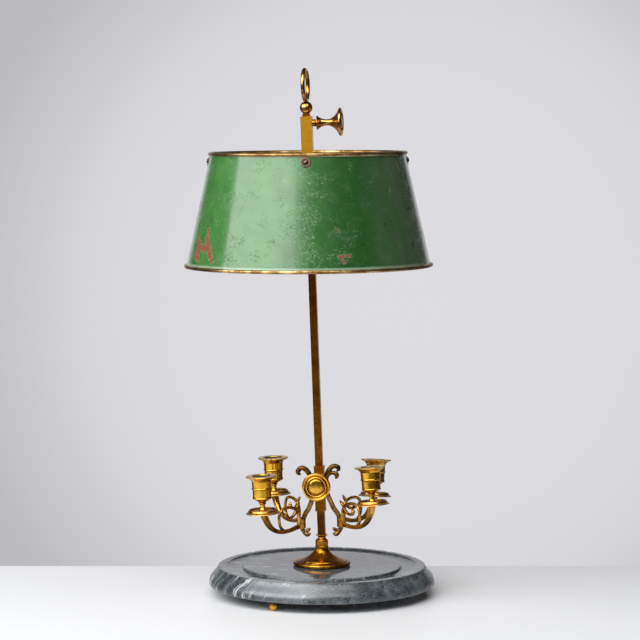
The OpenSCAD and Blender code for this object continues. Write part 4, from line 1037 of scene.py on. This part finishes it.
# Round head with a filed flat round its rim, and its shank through the sheet
spread("shade_screw_set",
       turned([[0, -7.3], [1.6, -7.3], [1.6, 0.6], [3.1, 0.6], [3.3, 0.8], [3.3, 1.1], [3.0, 1.75],
               [2.3, 2.3], [1.2, 2.66], [0, 2.75]], 32),
       screw_seats, "shade_carrier", "polished_brass", ["shade_screws"])


# ---- Table, studio light and camera --------------------------------------------------------

VIEW_TURN = 6.3  # the camera stands this far towards +X from the front
CAMERA_AT = (0.34464, -3.14212, 0.6147)
CAMERA_DOWN = 4.857
CAMERA_LENS = 142.31
LIGHTS_AIM_H = 0.35  # every light looks at this height over the table's middle
# Each light's degrees from the front towards +X, its distance, its height, the width and height of its
# face, and how bright its face is. One tall softbox stands on the front left and fades towards the
# camera, and a low one hangs high in front.
SOFT_BOXES = {
    "key_softbox": (-50, 2.3, 1.63, 3.1, 1.75, 3.8),
    "key_softbox_fade_1": (-12, 2.6, 1.75, 0.4, 1.75, 3.3),
    "key_softbox_fade_2": (-4.5, 2.6, 1.75, 0.34, 1.75, 1.7),
    "key_softbox_fade_3": (3, 2.6, 1.75, 0.34, 1.75, 0.5),
    "top_softbox": (0, 1.25, 2.2, 2.6, 1.5, 3.5),
}


def stage_material(name, colour, roughness):
    material = bpy.data.materials.new(name)
    material.use_nodes = True
    surface = material.node_tree.nodes["Principled BSDF"]
    surface.inputs["Base Color"].default_value = shade_of(colour)
    surface.inputs["Roughness"].default_value = roughness
    return material


def make_table():
    """A plain white table top, whose far edge lies not far behind the lamp."""
    x0, x1, y0, y1, thick = -1.0, 0.75, -0.9, 0.185, 0.03
    corners = [(x, y, z) for z in (-thick, 0) for x, y in ((x0, y0), (x1, y0), (x1, y1), (x0, y1))]
    sides = [(3, 2, 1, 0), (4, 5, 6, 7), (0, 1, 5, 4), (1, 2, 6, 5), (2, 3, 7, 6), (3, 0, 4, 7)]
    mesh = mesh_of("table_top", corners, sides)
    mesh.transform(turn(VIEW_TURN, "Z"))
    mesh.materials.append(stage_material("White_table_paint", "f8f9fb", 0.4))
    table = linked("table_top", mesh)


def make_world():
    """A pale lavender-grey backdrop for the camera and for reflections, and a plain soft light."""
    world = bpy.data.worlds.new("studio")
    bpy.context.scene.world = world
    world.use_nodes = True
    tree = world.node_tree
    tree.nodes.clear()
    place = add(tree, "ShaderNodeTexCoord").outputs["Generated"]
    ray = add(tree, "ShaderNodeLightPath")
    ahead = Vector((-math.sin(math.radians(VIEW_TURN)), math.cos(math.radians(VIEW_TURN)), 0.0))
    facing = add(tree, "ShaderNodeVectorMath", [place, tuple(ahead)], operation="DOT_PRODUCT")
    # The backdrop is lit a little right of the middle and falls off towards its upper left corner
    spot = (-0.0782, 0.994, -0.0767)
    off_spot = add(tree, "ShaderNodeVectorMath", [place, spot], operation="DOT_PRODUCT")
    lit = add(tree, "ShaderNodeValToRGB", {"Fac": off_spot},
              stops=[(0.95, "d4d3d8"), (0.983, "b8b7bc"), (0.9875, "c4c4c8"), (0.9905, "d2d1d6"),
                     (0.9945, "dad9de"), (1.0, "dddce1")])
    # What the metal sees: the backdrop behind the lamp, black flags beside it, a dim room before it
    turned_to = add(tree, "ShaderNodeMapRange", [facing, -1.0])
    room = add(tree, "ShaderNodeValToRGB", {"Fac": turned_to},
               stops=[(0.0, "4a484a"), (0.4, "302e2f"), (0.92, "484648"), (0.965, "d6d5da")])
    shown = add(tree, "ShaderNodeMix", [ray.outputs["Is Camera Ray"], room, lit], data_type="RGBA")
    picture = add(tree, "ShaderNodeBackground", {"Color": shown, "Strength": 1.0})
    light = add(tree, "ShaderNodeBackground", {"Color": (0.93, 0.95, 1.0, 1.0), "Strength": 0.035})
    by_camera = add(tree, "ShaderNodeMath", [ray.outputs["Is Camera Ray"], ray.outputs["Is Glossy Ray"]],
                    operation="MAXIMUM")
    by_eye = add(tree, "ShaderNodeMath", [by_camera, ray.outputs["Is Transmission Ray"]], operation="MAXIMUM")
    both = add(tree, "ShaderNodeMixShader", [by_eye, light, picture])
    add(tree, "ShaderNodeOutputWorld", {"Surface": both})


def soft_box(name, azimuth, distance, height, width, tall, glow):
    lamp = bpy.data.lights.new(name, "AREA")
    lamp.shape = "RECTANGLE"
    lamp.size, lamp.size_y = width, tall
    lamp.energy = glow * math.pi * width * tall
    a = math.radians(azimuth)
    here = Vector((math.sin(a) * distance, -math.cos(a) * distance, height))
    made = linked(name, lamp)
    made.location = here
    made.rotation_mode = "QUATERNION"
    made.rotation_quaternion = (Vector((0, 0, LIGHTS_AIM_H)) - here).to_track_quat("-Z", "Y")


def make_camera():
    lens = bpy.data.cameras.new("camera")
    lens.sensor_width = 36.0
    lens.lens = CAMERA_LENS
    lens.clip_start, lens.clip_end = 0.1, 50
    camera = linked("camera", lens)
    camera.location = CAMERA_AT
    camera.rotation_euler = (math.radians(90 - CAMERA_DOWN), 0, math.radians(VIEW_TURN))
    bpy.context.scene.camera = camera


make_table()
make_world()
for name, values in SOFT_BOXES.items():
    soft_box(name, *values)
make_camera()

scene = bpy.context.scene
scene.view_settings.view_transform = "Standard"
